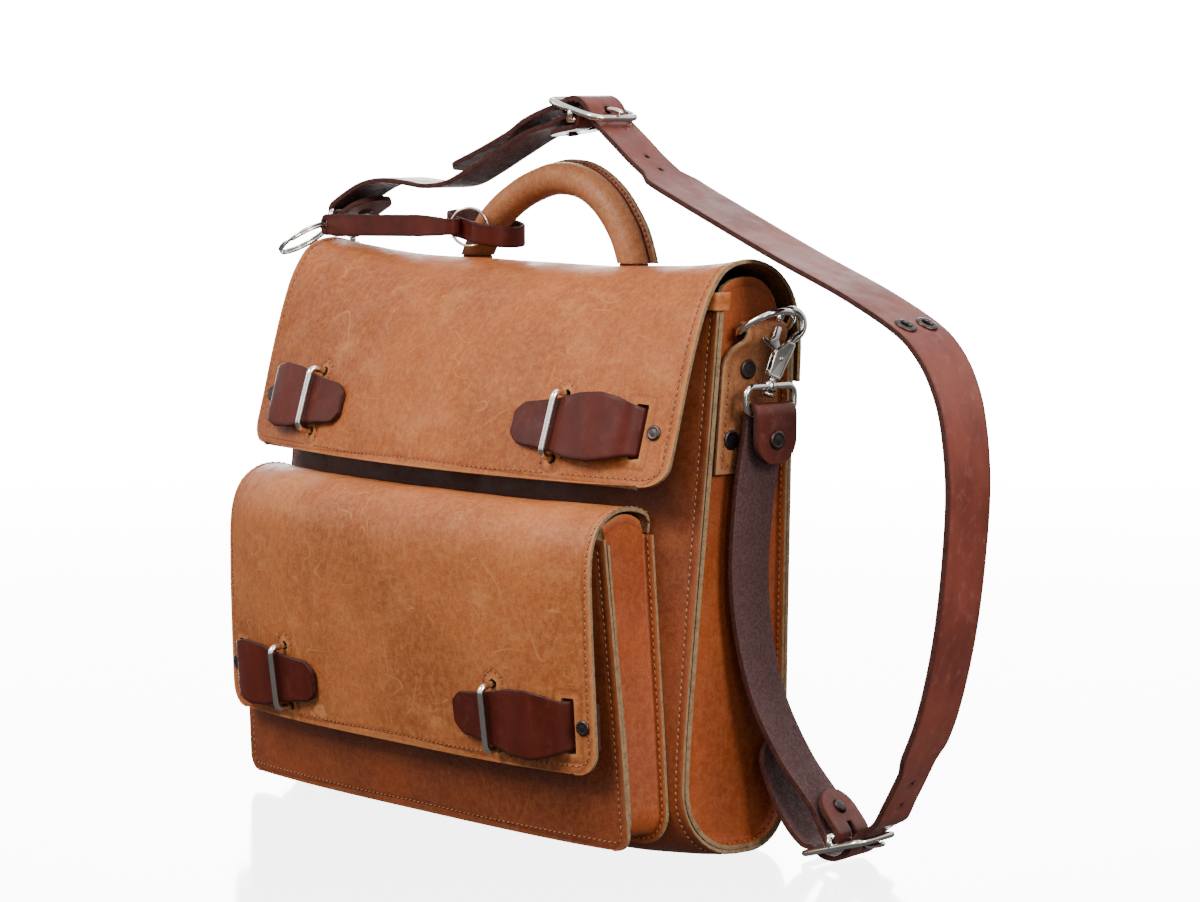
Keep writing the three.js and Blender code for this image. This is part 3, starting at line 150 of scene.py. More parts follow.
FRONT = Table(
    ("z", "y", "swell"),
    ((0, -40, 8), (60, -38, 17), (140, -30.5, 28), (225, -21.5, 33), (275, -16.5, 25), (312, -13, 4)),
)
BACK = Table(("z", "y", "swell"), ((0, 37, 2), (100, 38, 8), (200, 40, 10), (284, 41.8, 8)))
FLAP = Table(
    ("v", "y", "z", "swell", "sag"),
    (
        (0, 45.6, 262, -9.5, 0), (0.08, 46, 290, -8.5, 1), (0.15, 40.5, 311, -3, 4),
        (0.21, 28, 324.5, 0, 7), (0.28, 9, 330.5, 0, 8), (0.35, -9, 326.5, 4, 8), (0.42, -20.5, 313, 11, 6),
        (0.5, -28.5, 295, 18, 4), (0.63, -37.5, 266, 24, 2), (0.83, -46.5, 232, 27, 1),
        (1, -53.5, 208, 27, 0),
    ),
)
POCKET = Table(
    ("z", "half", "depth", "wall_rear", "wall_front"),
    (
        (7, 177, 25, 177, 170), (60, 175, 28, 173, 168.5),
        (120, 171.5, 34, 166, 165), (180, 167, 40, 158.5, 161),
    ),
)
POCKET_FLAP = Table(
    ("v", "z", "half", "depth"),
    (
        (0, 181, 163, 3.5), (0.07, 188, 163, 3.8), (0.12, 192.5, 163.5, 8), (0.19, 195.5, 164.5, 20),
        (0.27, 194, 165.5, 33.5), (0.34, 186, 166.5, 44.5), (0.43, 170, 167.5, 49.5), (0.6, 137, 168.5, 48),
        (0.8, 92, 169.5, 44), (1, 50, 170, 40.5),
    ),
)
RIM = Table(("in", "out"), ((0, 1), (0.9, 0.6), (2.4, 0.2), (5.5, 0)))
PANEL_CREST = Table(
    ("share", "z"),
    (
        (0, 308), (0.02, 309), (0.05, 310.5), (0.114, 316.5), (0.38, 321), (0.68, 319.5), (0.886, 309),
        (0.95, 296), (0.98, 285), (1, 280),
    ),
)
GUSSET_CREST = Table(("share", "z"), ((0, 181), (0.08, 188), (0.5, 192.5), (1, 187)))
TONGUE = Table(
    ("out", "rise", "half"),
    (
        (-33.5, 2, 9.2), (-32.4, 2, 10.7), (-31, 2, 11.6), (-27, 2.2, 12.2), (-16, 3.4, 13), (0, 5, 15),
        (16, 6.8, 18.8), (32, 8.2, 19.8), (44, 7, 17.4), (51.5, 3.6, 14.4), (55.5, -3.4, 13.6),
        (60, -5.2, 13.4), (71, -5.2, 13),
    ),
)
TOP_FOLD = Vector((-1, 0, -0.17)).normalized(), Vector((-0.17, 0, 1)).normalized()
LEFT_FOLD = Vector((0.915, 0, 0.4)).normalized(), Vector((-0.4, 0, 0.915)).normalized()
FIN = ((0.0, 4.5), (5.8, 4.5), (9.0, 2.6), (11.6, 0.5), (14.5, -0.5), (20.0, -0.2), (27.0, 0.0))
# Material of each fin step: raw edge at the tip, the darker flank (partly painted shade), painted crease
# shade in the valley.
FIN_EDGE_AND_SHADE = {1: 1, 2: 1, 3: 2, 4: 3, 5: 3}
PATCH_RIVETS = (("upper", 9.8, 270.5), ("lower", -2.6, 232))
PATCH = (
    (186.9, 213, -14, 31), (186.9, 252, -10.5, 32), (187, 276, -7.5, 32), (191, 283, -4, 32),
    (194.5, 287.2, 1, 32), (195.2, 291, 2, 32), (193.6, 294.8, 2, 32), (190.6, 296, 2, 32),
    (187.6, 294.2, 2, 32), (186.7, 289, 2, 32),
)


def lerp(a: float, b: float, t: float) -> float:
    """Value between two others at a share from 0 to 1."""
    return a + (b - a) * t


def smoothstep(low: float, high: float, value: float) -> float:
    """Smooth rise from 0 at the low value to 1 at the high one."""
    t = min(max((value - low) / (high - low), 0.0), 1.0)
    return t * t * (3 - 2 * t)


def stops(length: float, step: float) -> list[float]:
    """Distances along a length of leather, closer together beside its sewn ends."""
    near = [0.0, 0.8, 1.8, 3.0, 4.2, 5.1, 6.0, 6.9, 7.8, 9.2, 11.0, 13.5]
    gap = length - 2 * near[-1]
    count = max(1, round(gap / step))
    between = [near[-1] + gap * i / count for i in range(1, count)]
    return near + between + [length - d for d in reversed(near)]


def arc(
    centre: Vector, first: Vector, second: Vector, radius: float, start: float, end: float, steps: int
) -> Line:
    """Points of an arc in the plane of two unit vectors, between angles in degrees."""
    angles = [radians(lerp(start, end, i / steps)) for i in range(steps + 1)]
    return [centre + (first * cos(a) + second * sin(a)) * radius for a in angles]


def directions(points: Line, closed: bool = False) -> Line:
    """Direction of travel at each point of a path."""
    count = len(points)
    if closed:
        return [(points[(i + 1) % count] - points[i - 1]).normalized() for i in range(count)]
    return [(points[min(i + 1, count - 1)] - points[max(i - 1, 0)]).normalized() for i in range(count)]


def smooth_path(points: Line, steps: int) -> list[tuple[float, Vector]]:
    """Smooth curve through points, with even parameters between them.

    Args:
        points: Points that the curve passes through.
        steps: Number of stops from one point to the next.

    Returns:
        Pairs of a place in the row of points and a point on the curve.
    """
    last = len(points) - 1
    found = []
    for i in range(last):
        p1, p2 = points[i], points[i + 1]
        p0 = points[i - 1] if i > 0 else p1 * 2 - p2
        p3 = points[i + 2] if i + 2 <= last else p2 * 2 - p1
        d0, d1, d2 = (max((b - a).length, 1e-6) ** 0.5 for a, b in ((p0, p1), (p1, p2), (p2, p3)))
        t1 = ((p1 - p0) / d0 - (p2 - p0) / (d0 + d1) + (p2 - p1) / d1) * d1
        t2 = ((p2 - p1) / d1 - (p3 - p1) / (d1 + d2) + (p3 - p2) / d2) * d1
        for k in range(steps):
            t = k / steps
            bend = (t1 * (1 - t) - t2 * t) * (t * (1 - t))
            found.append((i + t, p1 * (1 + 2 * t) * (1 - t) ** 2 + p2 * (t * t * (3 - 2 * t)) + bend))
    return found + [(float(last), points[last].copy())]


def boundary(low: float, high: float, below: Callable[[float], bool]) -> float:
    """Value between two others up to which a test holds."""
    for _ in range(30):
        middle = (low + high) / 2
        low, high = (middle, high) if below(middle) else (low, middle)
    return low


def turned_to(direction: Vector, place: Vector) -> Matrix:
    """Matrix that carries +Z onto a direction and the origin to a place."""
    return Matrix.Translation(place) @ direction.to_track_quat("Z", "Y").to_matrix().to_4x4()


def join_mesh(whole: Mesh, part: Mesh) -> None:
    """Moves a part's mesh into a whole."""
    carrier = bpy.data.meshes.new("carrier")
    part.to_mesh(carrier)
    part.free()
    whole.from_mesh(carrier)
    bpy.data.meshes.remove(carrier)


def placed(name: str, data: bpy.types.ID) -> Piece:
    """Adds an object to the scene."""
    piece = bpy.data.objects.new(name, data)
    bpy.context.scene.collection.objects.link(piece)
    return piece


def aimed(name: str, data: bpy.types.ID, place: Triple, target: Triple) -> Piece:
    """Adds a light or a camera that looks from a place at a target."""
    piece = placed(name, data)
    piece.location = place
    piece.rotation_mode = "QUATERNION"
    piece.rotation_quaternion = (Vector(target) - Vector(place)).to_track_quat("-Z", "Y")
    return piece


class Nodes:
    """A tree of shader nodes."""

    def __init__(self, owner: Material | bpy.types.World) -> None:
        """Starts the tree of a material or of the world's air."""
        owner.use_nodes = True
        self.tree = owner.node_tree

    def node(self, kind: str, inputs: dict | None = None, **settings: object) -> bpy.types.Node:
        """Adds a node, named without its prefix, with some of its inputs and settings."""
        made = self.tree.nodes.new(f"ShaderNode{kind}")
        for key, value in settings.items():
            setattr(made, key, value)
        for key, value in (inputs or {}).items():
            self.feed(made.inputs[key], value)
        return made

    def feed(self, socket: Socket, value: object) -> None:
        """Links a socket, or sets its own value."""
        if isinstance(value, Socket):
            self.tree.links.new(value, socket)
        else:
            socket.default_value = value

    def between(
        self,
        value: Socket,
        low: float,
        high: float,
        start: float = 0.0,
        end: float = 1.0,
        way: str = "SMOOTHSTEP",
    ) -> Socket:
        """Change from start to end as a value goes from low to high."""
        inputs = dict(enumerate((value, low, high, start, end)))
        return self.node("MapRange", inputs, interpolation_type=way).outputs["Result"]

    def maths(self, operation: str, *values: object) -> Socket:
        """One sum of some values."""
        return self.node("Math", dict(enumerate(values)), operation=operation).outputs[0]


class Graph(Nodes):
    """A material's nodes around its shader."""

    def __init__(self, name: str) -> None:
        """Starts a material with only a shader and an output."""
        self.material = bpy.data.materials.new(name)
        super().__init__(self.material)
        self.shader = next(n for n in self.tree.nodes if n.type == "BSDF_PRINCIPLED")
        self.place = self.node("TexCoord").outputs["Object"]

    def set(self, **values: object) -> None:
        """Feeds the shader's sockets, named with _ for a space."""
        for key, value in values.items():
            self.feed(self.shader.inputs[key.replace("_", " ")], value)

    def stretched(self, stretch: Triple, turn: Triple) -> Socket:
        """Object coordinates turned by degrees and stretched."""
        inputs = {"Vector": self.place, "Rotation": tuple(radians(a) for a in turn), "Scale": stretch}
        return self.node("Mapping", inputs).outputs["Vector"]

    def cloud(
        self, scale: float, detail: float = 4.0, rough: float = 0.55, where: Socket | None = None
    ) -> Socket:
        """Soft noise with a number of cells per metre."""
        inputs = {"Vector": where or self.place, "Scale": scale, "Detail": detail, "Roughness": rough}
        return self.node("TexNoise", inputs).outputs["Fac"]

    def cells(self, scale: float) -> Socket:
        """Distance inside pebbled cells, with a number of cells per metre."""
        inputs = {"Vector": self.place, "Scale": scale}
        return self.node("TexVoronoi", inputs, feature="F1").outputs["Distance"]

    def edge(self) -> Socket:
        """Distance in millimetres to the nearest cut edge of the leather."""
        return self.node("Attribute", attribute_name="edge_mm").outputs["Fac"]

    def mix(self, share: object, a: object, b: object) -> Socket:
        """Colour between two others."""
        return self.node("Mix", {0: share, 6: a, 7: b}, data_type="RGBA").outputs[2]

    def bump(self, height: Socket, strength: float, depth: float, below: Socket | None = None) -> Socket:
        """Relief of a depth in millimetres, over another relief if given."""
        inputs = {"Strength": strength, "Distance": depth * MM, "Height": height}
        if below is not None:
            inputs["Normal"] = below
        return self.node("Bump", inputs).outputs["Normal"]

    def scratches(self, scale: float, stretch: Triple, turn: Triple, width: float) -> Socket:
        """Sparse thin wandering lines, 1 on a line and 0 elsewhere."""
        lines = self.cloud(scale, 1.5, 0.4, self.stretched(stretch, turn))
        off = self.maths("ABSOLUTE", self.maths("SUBTRACT", lines, 0.5))
        where = self.between(self.cloud(scale * 0.9, 2.0), 0.52, 0.66)
        return self.maths("MULTIPLY", self.between(off, 0.0, width, 1.0, 0.0), where)


def tint(code: str) -> tuple[float, float, float, float]:
    """Linear colour from a display colour such as b87845."""
    parts = [int(code[i : i + 2], 16) / 255 for i in (0, 2, 4)]
    linear = [c / 12.92 if c <= 0.04045 else ((c + 0.055) / 1.055) ** 2.4 for c in parts]
    return (linear[0], linear[1], linear[2], 1.0)


@dataclass(frozen=True)
class Finish:
    """Name, main colour and deep colour of a finish."""

    name: str
    body: str
    deep: str


@dataclass(frozen=True)
class OiledLeather(Finish):
    """Scuffed oiled leather, paler where it was bent or rubbed."""

    pale: str
    scuffs: float = 1.0
    roughness: float = 0.5
    shade_share: float = 0.0

    @staticmethod
    def darker_shaded(g: Graph) -> Socket:
        """Share of painted shade, which is whole on the front under the main flap's front edge."""
        x, y, z = g.node("SeparateXYZ", {0: g.place}).outputs
        width = g.between(g.maths("ABSOLUTE", x), 0.165, 0.188, 1.0, 0.0)
        low = g.between(z, 0.175, 0.2)
        front = g.between(y, -0.012, 0.0, 1.0, 0.0)
        return g.maths("MULTIPLY", g.maths("MULTIPLY", width, low), front)

    def material(self) -> Material:
        """Makes the grain side's material."""
        g = Graph(self.name)
        body, deep, pale = tint(self.body), tint(self.deep), tint(self.pale)
        clouds = g.between(g.cloud(11, 5, 0.6), 0.36, 0.66)
        mottle = g.between(g.cloud(280, 7, 0.72), 0.36, 0.66)
        nap = g.cloud(850, 5, 0.75)
        fibres = g.cloud(240, 5, 0.7, g.stretched((1.6, 1.6, 0.35), (8, 0, 0)))
        colour = g.mix(g.maths("MULTIPLY", clouds, 0.7), body, deep)
        colour = g.mix(g.maths("MULTIPLY", mottle, 0.34), colour, pale)
        colour = g.mix(g.between(fibres, 0.5, 0.72, 0.0, 0.3), colour, pale)
        colour = g.mix(g.between(nap, 0.46, 0.66, 0.0, 0.5), colour, deep)
        worn_patches = g.cloud(20, 9, 0.74, g.stretched((1, 1, 1.8), (0, 20, 0)))
        rubbed = g.between(worn_patches, 0.52, 0.72, 0.0, 0.5 * self.scuffs)
        long_lines = g.scratches(16, (1, 1, 0.35), (20, 10, 35), 0.006)
        short_lines = g.scratches(38, (0.45, 1, 1), (0, 35, 0), 0.009)
        upright_hairs = g.scratches(60, (1, 1, 0.3), (5, 0, 60), 0.006)
        level_hairs = g.scratches(48, (0.4, 1, 1), (0, 70, 0), 0.005)
        hairs = g.maths("MAXIMUM", upright_hairs, level_hairs)
        lines = g.maths("MAXIMUM", hairs, g.maths("MAXIMUM", long_lines, short_lines))
        marks = g.maths("MULTIPLY", lines, 0.55 * self.scuffs)
        colour = g.mix(g.maths("MAXIMUM", rubbed, marks), colour, pale)
        worn = g.between(g.edge(), 0.4, 3.2, 0.4, 0.0)
        colour = g.mix(worn, colour, pale)
        # Painted shade: a darker line along each sewn seam, beside its pressed groove.
        beside = g.maths("ABSOLUTE", g.maths("SUBTRACT", g.edge(), SEAM))
        colour = g.mix(g.between(beside, 0.3, 1.5, 0.4, 0.0), colour, deep)
        # Painted shade: the front under the main flap is pulled towards a near-black brown.
        if self.shade_share > 0:
            colour = g.mix(g.maths("MULTIPLY", self.darker_shaded(g), self.shade_share), colour, tint("34170f"))
        grain = g.bump(g.cells(950), 0.25, 0.12)
        grain = g.bump(nap, 0.4, 0.3, grain)
        grain = g.bump(g.cloud(55, 4, 0.5), 0.25, 0.8, grain)
        shine = g.between(g.cloud(45, 5, 0.65), 0.3, 0.72, self.roughness - 0.1, self.roughness + 0.14)
        rough = g.maths("ADD", shine, g.maths("MULTIPLY", marks, 0.2))
        g.set(Base_Color=colour, Roughness=rough, Normal=grain, Specular_IOR_Level=0.26)
        return g.material


@dataclass(frozen=True)
class BridleLeather(Finish):
    """Smooth waxed strap leather with dark burnished borders."""

    pale: str
    roughness: float = 0.34
    specular: float = 0.28

    def material(self) -> Material:
        """Makes the grain side's material."""
        g = Graph(self.name)
        flow = g.between(g.cloud(22, 6, 0.62, g.stretched((1, 1, 0.5), (0, 35, 0))), 0.34, 0.68)
        colour = g.mix(g.maths("MULTIPLY", flow, 0.7), tint(self.body), tint(self.deep))
        colour = g.mix(g.between(g.cloud(120, 5, 0.65), 0.5, 0.75, 0.0, 0.35), colour, tint(self.pale))
        marks = g.maths("MULTIPLY", g.scratches(30, (1, 1, 0.4), (15, 50, 10), 0.006), 0.3)
        colour = g.mix(marks, colour, tint(self.pale))
        colour = g.mix(g.between(g.edge(), 0.5, 2.4, 0.75, 0.0), colour, tint(self.deep))
        grain = g.bump(g.cloud(700, 4, 0.6), 0.18, 0.14)
        grain = g.bump(g.cloud(60, 4, 0.5), 0.18, 0.5, grain)
        shine = g.between(g.cloud(50, 5, 0.6), 0.3, 0.7, self.roughness - 0.08, self.roughness + 0.12)
        g.set(Base_Color=colour, Roughness=shine, Normal=grain, Specular_IOR_Level=self.specular)
        return g.material


@dataclass(frozen=True)
class FleshSide(Finish):
    """Pebbled back of a hide."""

    pebbles: float

    def material(self) -> Material:
        """Makes the flesh side's material."""
        g = Graph(self.name)
        pebble = g.cells(self.pebbles)
        colour = g.mix(g.between(pebble, 0.2, 0.75), tint(self.body), tint(self.deep))
        colour = g.mix(g.between(g.cloud(60, 5, 0.6), 0.4, 0.7, 0.0, 0.5), colour, tint(self.deep))
        relief = g.bump(pebble, 0.6, 0.35)
        relief = g.bump(g.cloud(1500, 3, 0.6), 0.3, 0.15, relief)
        g.set(Base_Color=colour, Roughness=g.between(g.cloud(300, 3), 0.3, 0.7, 0.55, 0.78), Normal=relief)
        g.set(Specular_IOR_Level=0.35)
        return g.material


@dataclass(frozen=True)
class RawEdge(Finish):
    """Cut edge of a hide, with its fibres."""

    pale: str

    def material(self) -> Material:
        """Makes the edge's material."""
        g = Graph(self.name)
        colour = g.mix(g.between(g.cloud(260, 6, 0.7), 0.34, 0.68), tint(self.body), tint(self.deep))
        colour = g.mix(g.between(g.cloud(1100, 4, 0.7), 0.48, 0.74, 0.0, 0.7), colour, tint(self.pale))
        relief = g.bump(g.cloud(1300, 5, 0.7), 0.55, 0.3)
        g.set(Base_Color=colour, Roughness=g.between(g.cloud(400, 3), 0.3, 0.7, 0.7, 0.9), Normal=relief)
        g.set(Specular_IOR_Level=0.25)
        return g.material


class Thread(Finish):
    """Waxed sewing thread."""

    def material(self) -> Material:
        """Makes the thread's material."""
        g = Graph(self.name)
        twist = g.cloud(2200, 2, 0.5)
        colour = g.mix(g.between(twist, 0.35, 0.68), tint(self.body), tint(self.deep))
        rough = g.between(twist, 0.3, 0.7, 0.5, 0.75)
        g.set(Base_Color=colour, Roughness=rough, Normal=g.bump(twist, 0.5, 0.2))
        return g.material


@dataclass(frozen=True)
class Metal(Finish):
    """Plated metal with fine rubbed marks."""

    roughness: float
    marks: float

    def material(self) -> Material:
        """Makes the plating's material."""
        g = Graph(self.name)
        haze = g.between(g.cloud(90, 5, 0.6), 0.38, 0.7)
        fine = g.cloud(700, 3, 0.6, g.stretched((1, 0.12, 1), (15, 30, 0)))
        colour = g.mix(g.maths("MULTIPLY", haze, 0.4), tint(self.body), tint(self.deep))
        rough = g.between(fine, 0.3, 0.75, self.roughness, self.roughness + 0.1 * self.marks)
        rough = g.maths("ADD", rough, g.maths("MULTIPLY", haze, 0.07 * self.marks))
        g.set(Base_Color=colour, Roughness=rough, Metallic=1.0, Normal=g.bump(fine, 0.08 * self.marks, 0.05))
        return g.material


@dataclass(frozen=True)
class Leather:
    """Grain, flesh and edge of one hide, and the record's slot for it."""

    grain: Material
    flesh: Material
    edge: Material
    slot: Slot


class Finishes:
    """Every finish of the briefcase, made once."""

    def __init__(self) -> None:
        """Makes the materials."""
        flesh = FleshSide("tan_flesh", "7a4a2c", "52301c", 900).material()
        strap_flesh = FleshSide("strap_flesh", "61413e", "4b3130", 620).material()
        raw = RawEdge("raw_tan_edge", "937757", "6f573d", "af9674").material()
        # Dark strap edges; the same material paints the crease shade along the handle's fin.
        dark_raw = RawEdge("dark_edge_and_crease_shade", "4a231a", "2c130f", "5e3326").material()

        def oiled(name: str, *look: object, slot: Slot = Slot.TAN) -> Leather:
            """Oiled leather with its colours and wear."""
            return Leather(OiledLeather(f"{name}_oiled_leather", *look).material(), flesh, raw, slot)

        def bridle(name: str, slot: Slot, *look: object) -> Leather:
            """Strap leather with its colours and shine."""
            return Leather(BridleLeather(name, *look).material(), strap_flesh, dark_raw, slot)

        self.tan = oiled("tan", "a85523", "783410", "c98448")
        self.side = oiled("side", "9d481f", "742f12", "b5683a", 0.7, 0.46, slot=Slot.SIDE)
        # Lighter copy of the tan for the pocket flap: painted light for its more upright, less lit face.
        self.pocket = oiled("pocket", "b05f2e", "803d18", "cf8c54")
        # Lighter tan for the handle and the ring patches; on the handle it is partly painted light for the
        # stronger light on its top.
        self.pale = oiled("pale", "aa6640", "7c4426", "ca905e", 0.8)
        # Darker, redder tan: partly the leather's own tone and partly painted shade, for the wrap, the pocket
        # front below its flap and the handle's stubs and fin flank; it also carries the painted shadow under
        # the main flap.
        self.darker_shaded = oiled("darker_shaded", "823a1a", "5a240f", "9a5a32", 0.5, 0.48, 0.75)
        self.dark = bridle("tongue_dark_leather", Slot.DARK, "561e13", "34100b", "6c3022", 0.4, 0.16)
        self.strap = bridle("strap_bridle_leather", Slot.STRAP, "7a3a2c", "4f211b", "9b5f52")
        self.thread = Thread("waxed_thread", "b06a38", "7c4420").material()
        # Painted shade: the dark blob at each stitch's end stands for its shaded hole.
        self.stitch_hole_shade = Thread("stitch_hole_shade", "2c140b", "1a0b06").material()
        self.nickel = Metal("polished_nickel", "dcd9d2", "b8b4ac", 0.07, 1.0).material()
        self.satin = Metal("satin_nickel", "a5a19a", "86827c", 0.34, 1.6).material()
        self.gunmetal = Metal("dark_gunmetal", "4c4442", "2e2827", 0.3, 1.4).material()


@dataclass(frozen=True)
class Hole:
    """Round or square opening cut through a sheet."""

    centre: Vector
    first: Vector
    second: Vector
    half_first: float
    half_second: float
    round: bool = True

    def local(self, point: Vector) -> Triple:
        """Place of a point in the opening's own directions."""
        off = point - self.centre
        return off.dot(self.first), off.dot(self.second), off.dot(self.first.cross(self.second))

    def outside(self, point: Vector) -> float:
        """Distance of a point outside the opening, below 0 inside it."""
        a, b, deep = self.local(point)
        if abs(deep) > 9:
            return 99.0
        if self.round:
            return hypot(a, b) - self.half_first
        return max(abs(a) - self.half_first, abs(b) - self.half_second)

    def snapped(self, point: Vector) -> Vector:
        """Nearest point on the opening's outline."""
        a, b, _ = self.local(point)
        if self.round:
            size = hypot(a, b) or 1.0
            c, d = a * self.half_first / size, b * self.half_first / size
        else:
            c = min(max(a, -self.half_first), self.half_first)
            d = min(max(b, -self.half_second), self.half_second)
            if c == a and d == b:
                if self.half_first - abs(a) < self.half_second - abs(b):
                    c = copysign(self.half_first, a)
                else:
                    d = copysign(self.half_second, b)
        return point + self.first * (c - a) + self.second * (d - b)


@dataclass(frozen=True)
class Relief:
    """Waves, pressed seams and thin borders of a sheet, in millimetres."""

    wave: float = 0.7
    size: float = 55.0
    groove: float = 0.45

    def height(self, place: Vector, edge: float) -> float:
        """Distance that the leather stands off its even surface at a distance from its edge."""
        calm = smoothstep(0.0, 22.0, edge)
        soft = noise.noise(place / self.size) + 0.35 * noise.noise(place / (self.size * 0.33))
        return self.wave * soft * calm - self.groove * exp(-((edge - SEAM) ** 2))


@dataclass
class Hide:
    """A cut of leather around a grid of middle points."""

    grid: Grid
    thickness: float
    flipped: bool = False
    joined: bool = False
    holes: list[Hole] = field(default_factory=list)
    relief: Relief | None = None
    tree: BVHTree | None = field(default=None, init=False)

    def edges(self) -> list[list[float]]:
        """Distance of each grid point to the nearest edge."""
        rows, columns = len(self.grid), len(self.grid[0])
        best = [[1e9] * columns for _ in range(rows)]
        lines = [[(r, c) for c in range(columns)] for r in range(rows)]
        if not self.joined:
            lines += [[(r, c) for r in range(rows)] for c in range(columns)]
        for line in lines:
            for way in (line, line[::-1]):
                gone = 0.0
                for (r0, c0), (r, c) in zip([way[0], *way], way):
                    gone += (self.grid[r][c] - self.grid[r0][c0]).length
                    best[r][c] = min(best[r][c], gone)
        return best

    def mesh(self) -> Mesh:
        """Middle surface with its holes and relief."""
        bm = bmesh.new()
        rows, columns = len(self.grid) - 1, len(self.grid[0]) - 1
        bmesh.ops.create_grid(bm, x_segments=columns, y_segments=rows, size=1.0)
        layer = bm.verts.layers.float.new("edge_mm")
        edges = self.edges()
        for vert in bm.verts:
            c, r = round((vert.co.x + 1) / 2 * columns), round((vert.co.y + 1) / 2 * rows)
            vert.co = self.grid[r][c]
            vert[layer] = edges[r][c]
        if self.flipped:
            bmesh.ops.reverse_faces(bm, faces=bm.faces)
        if self.joined:
            bmesh.ops.remove_doubles(bm, verts=bm.verts, dist=0.01)
        for hole in self.holes:
            self.cut(bm, layer, hole)
        bm.normal_update()
        if self.relief:
            moves = [(v, v.normal * self.relief.height(v.co, v[layer])) for v in bm.verts]
            for vert, move in moves:
                vert.co += move
        bm.normal_update()
        self.tree = BVHTree.FromBMesh(bm)
        return bm

    def settled(self, place: Vector, normal: Vector) -> Skin:
        """Nearest place on the side of the leather that a direction points off."""
        spot, off, _, _ = self.tree.find_nearest(place)
        if off.dot(normal) < 0:
            off = -off
        return spot + off * (self.thickness / 2), off

    @staticmethod
    def cut(bm: Mesh, layer: bmesh.types.BMLayerItem, hole: Hole) -> None:
        """Takes the faces inside a hole away and draws its border to the outline."""
        inside = {f for f in bm.faces if hole.outside(f.calc_center_median()) < 0}
        border = {v for f in inside for v in f.verts if any(g not in inside for g in v.link_faces)}
        bmesh.ops.delete(bm, geom=list(inside), context="FACES")
        for vert in border:
            vert.co = hole.snapped(vert.co)
        for vert in bm.verts:
            away = hole.outside(vert.co)
            if away < 12:
                vert[layer] = min(vert[layer], max(away, 0.0))


class Shop(Finishes):
    """Turns meshes into finished pieces on their bodies."""

    def show(
        self,
        bm: Mesh,
        name: str,
        materials: Sequence[Material],
        nodes: Sequence[str] = (),
        slot: Slot = Slot.TAN,
        body: Body = Body.CASE,
    ) -> Piece:
        """Makes a mesh a piece of the briefcase.

        Args:
            bm: Mesh in millimetres, which is used up.
            name: Name of the piece.
            materials: Its material slots.
            nodes: Solids that it stands for.
            slot: The record's slot for the piece; not used.
            body: Body that it rides on.

        Returns:
            The piece.
        """
        bmesh.ops.scale(bm, vec=(MM, MM, MM), verts=bm.verts)
        for face in bm.faces:
            face.smooth = True
        mesh = bpy.data.meshes.new(name)
        bm.to_mesh(mesh)
        bm.free()
        piece = placed(name, mesh)
        for material in materials:
            mesh.materials.append(material)
        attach(piece, body.value)
        if nodes:
            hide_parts(*nodes)
        LOG.info("%s: %d faces", name, len(mesh.polygons))
        return piece

    def leather(self, hide: Hide, leather: Leather, node: str, soften: float = 0.5) -> None:
        """Makes a hide a piece with its thickness and softened edges."""
        sides = (leather.grain, leather.flesh, leather.edge)
        piece = self.show(hide.mesh(), f"{node}_leather", sides, (node,), leather.slot)
        wall = piece.modifiers.new("thickness", "SOLIDIFY")
        wall.thickness = hide.thickness * MM
        wall.offset = 0.0
        wall.use_even_offset = True
        wall.material_offset = 1
        wall.material_offset_rim = 2
        edge = piece.modifiers.new("soft_edges", "BEVEL")
        edge.width = soften * MM
        edge.segments = 2
        edge.limit_method = "ANGLE"
        edge.angle_limit = radians(50)

    def metal(self, bm: Mesh, node: str, kind: str, slot: Slot = Slot.NICKEL, body: Body = Body.CASE) -> None:
        """Makes a mesh a metal piece, named for its solid and its kind."""
        plating = self.gunmetal if slot is Slot.GUNMETAL else self.nickel
        self.show(bm, f"{node}_{kind}", (plating, self.satin), (node,), slot, body)


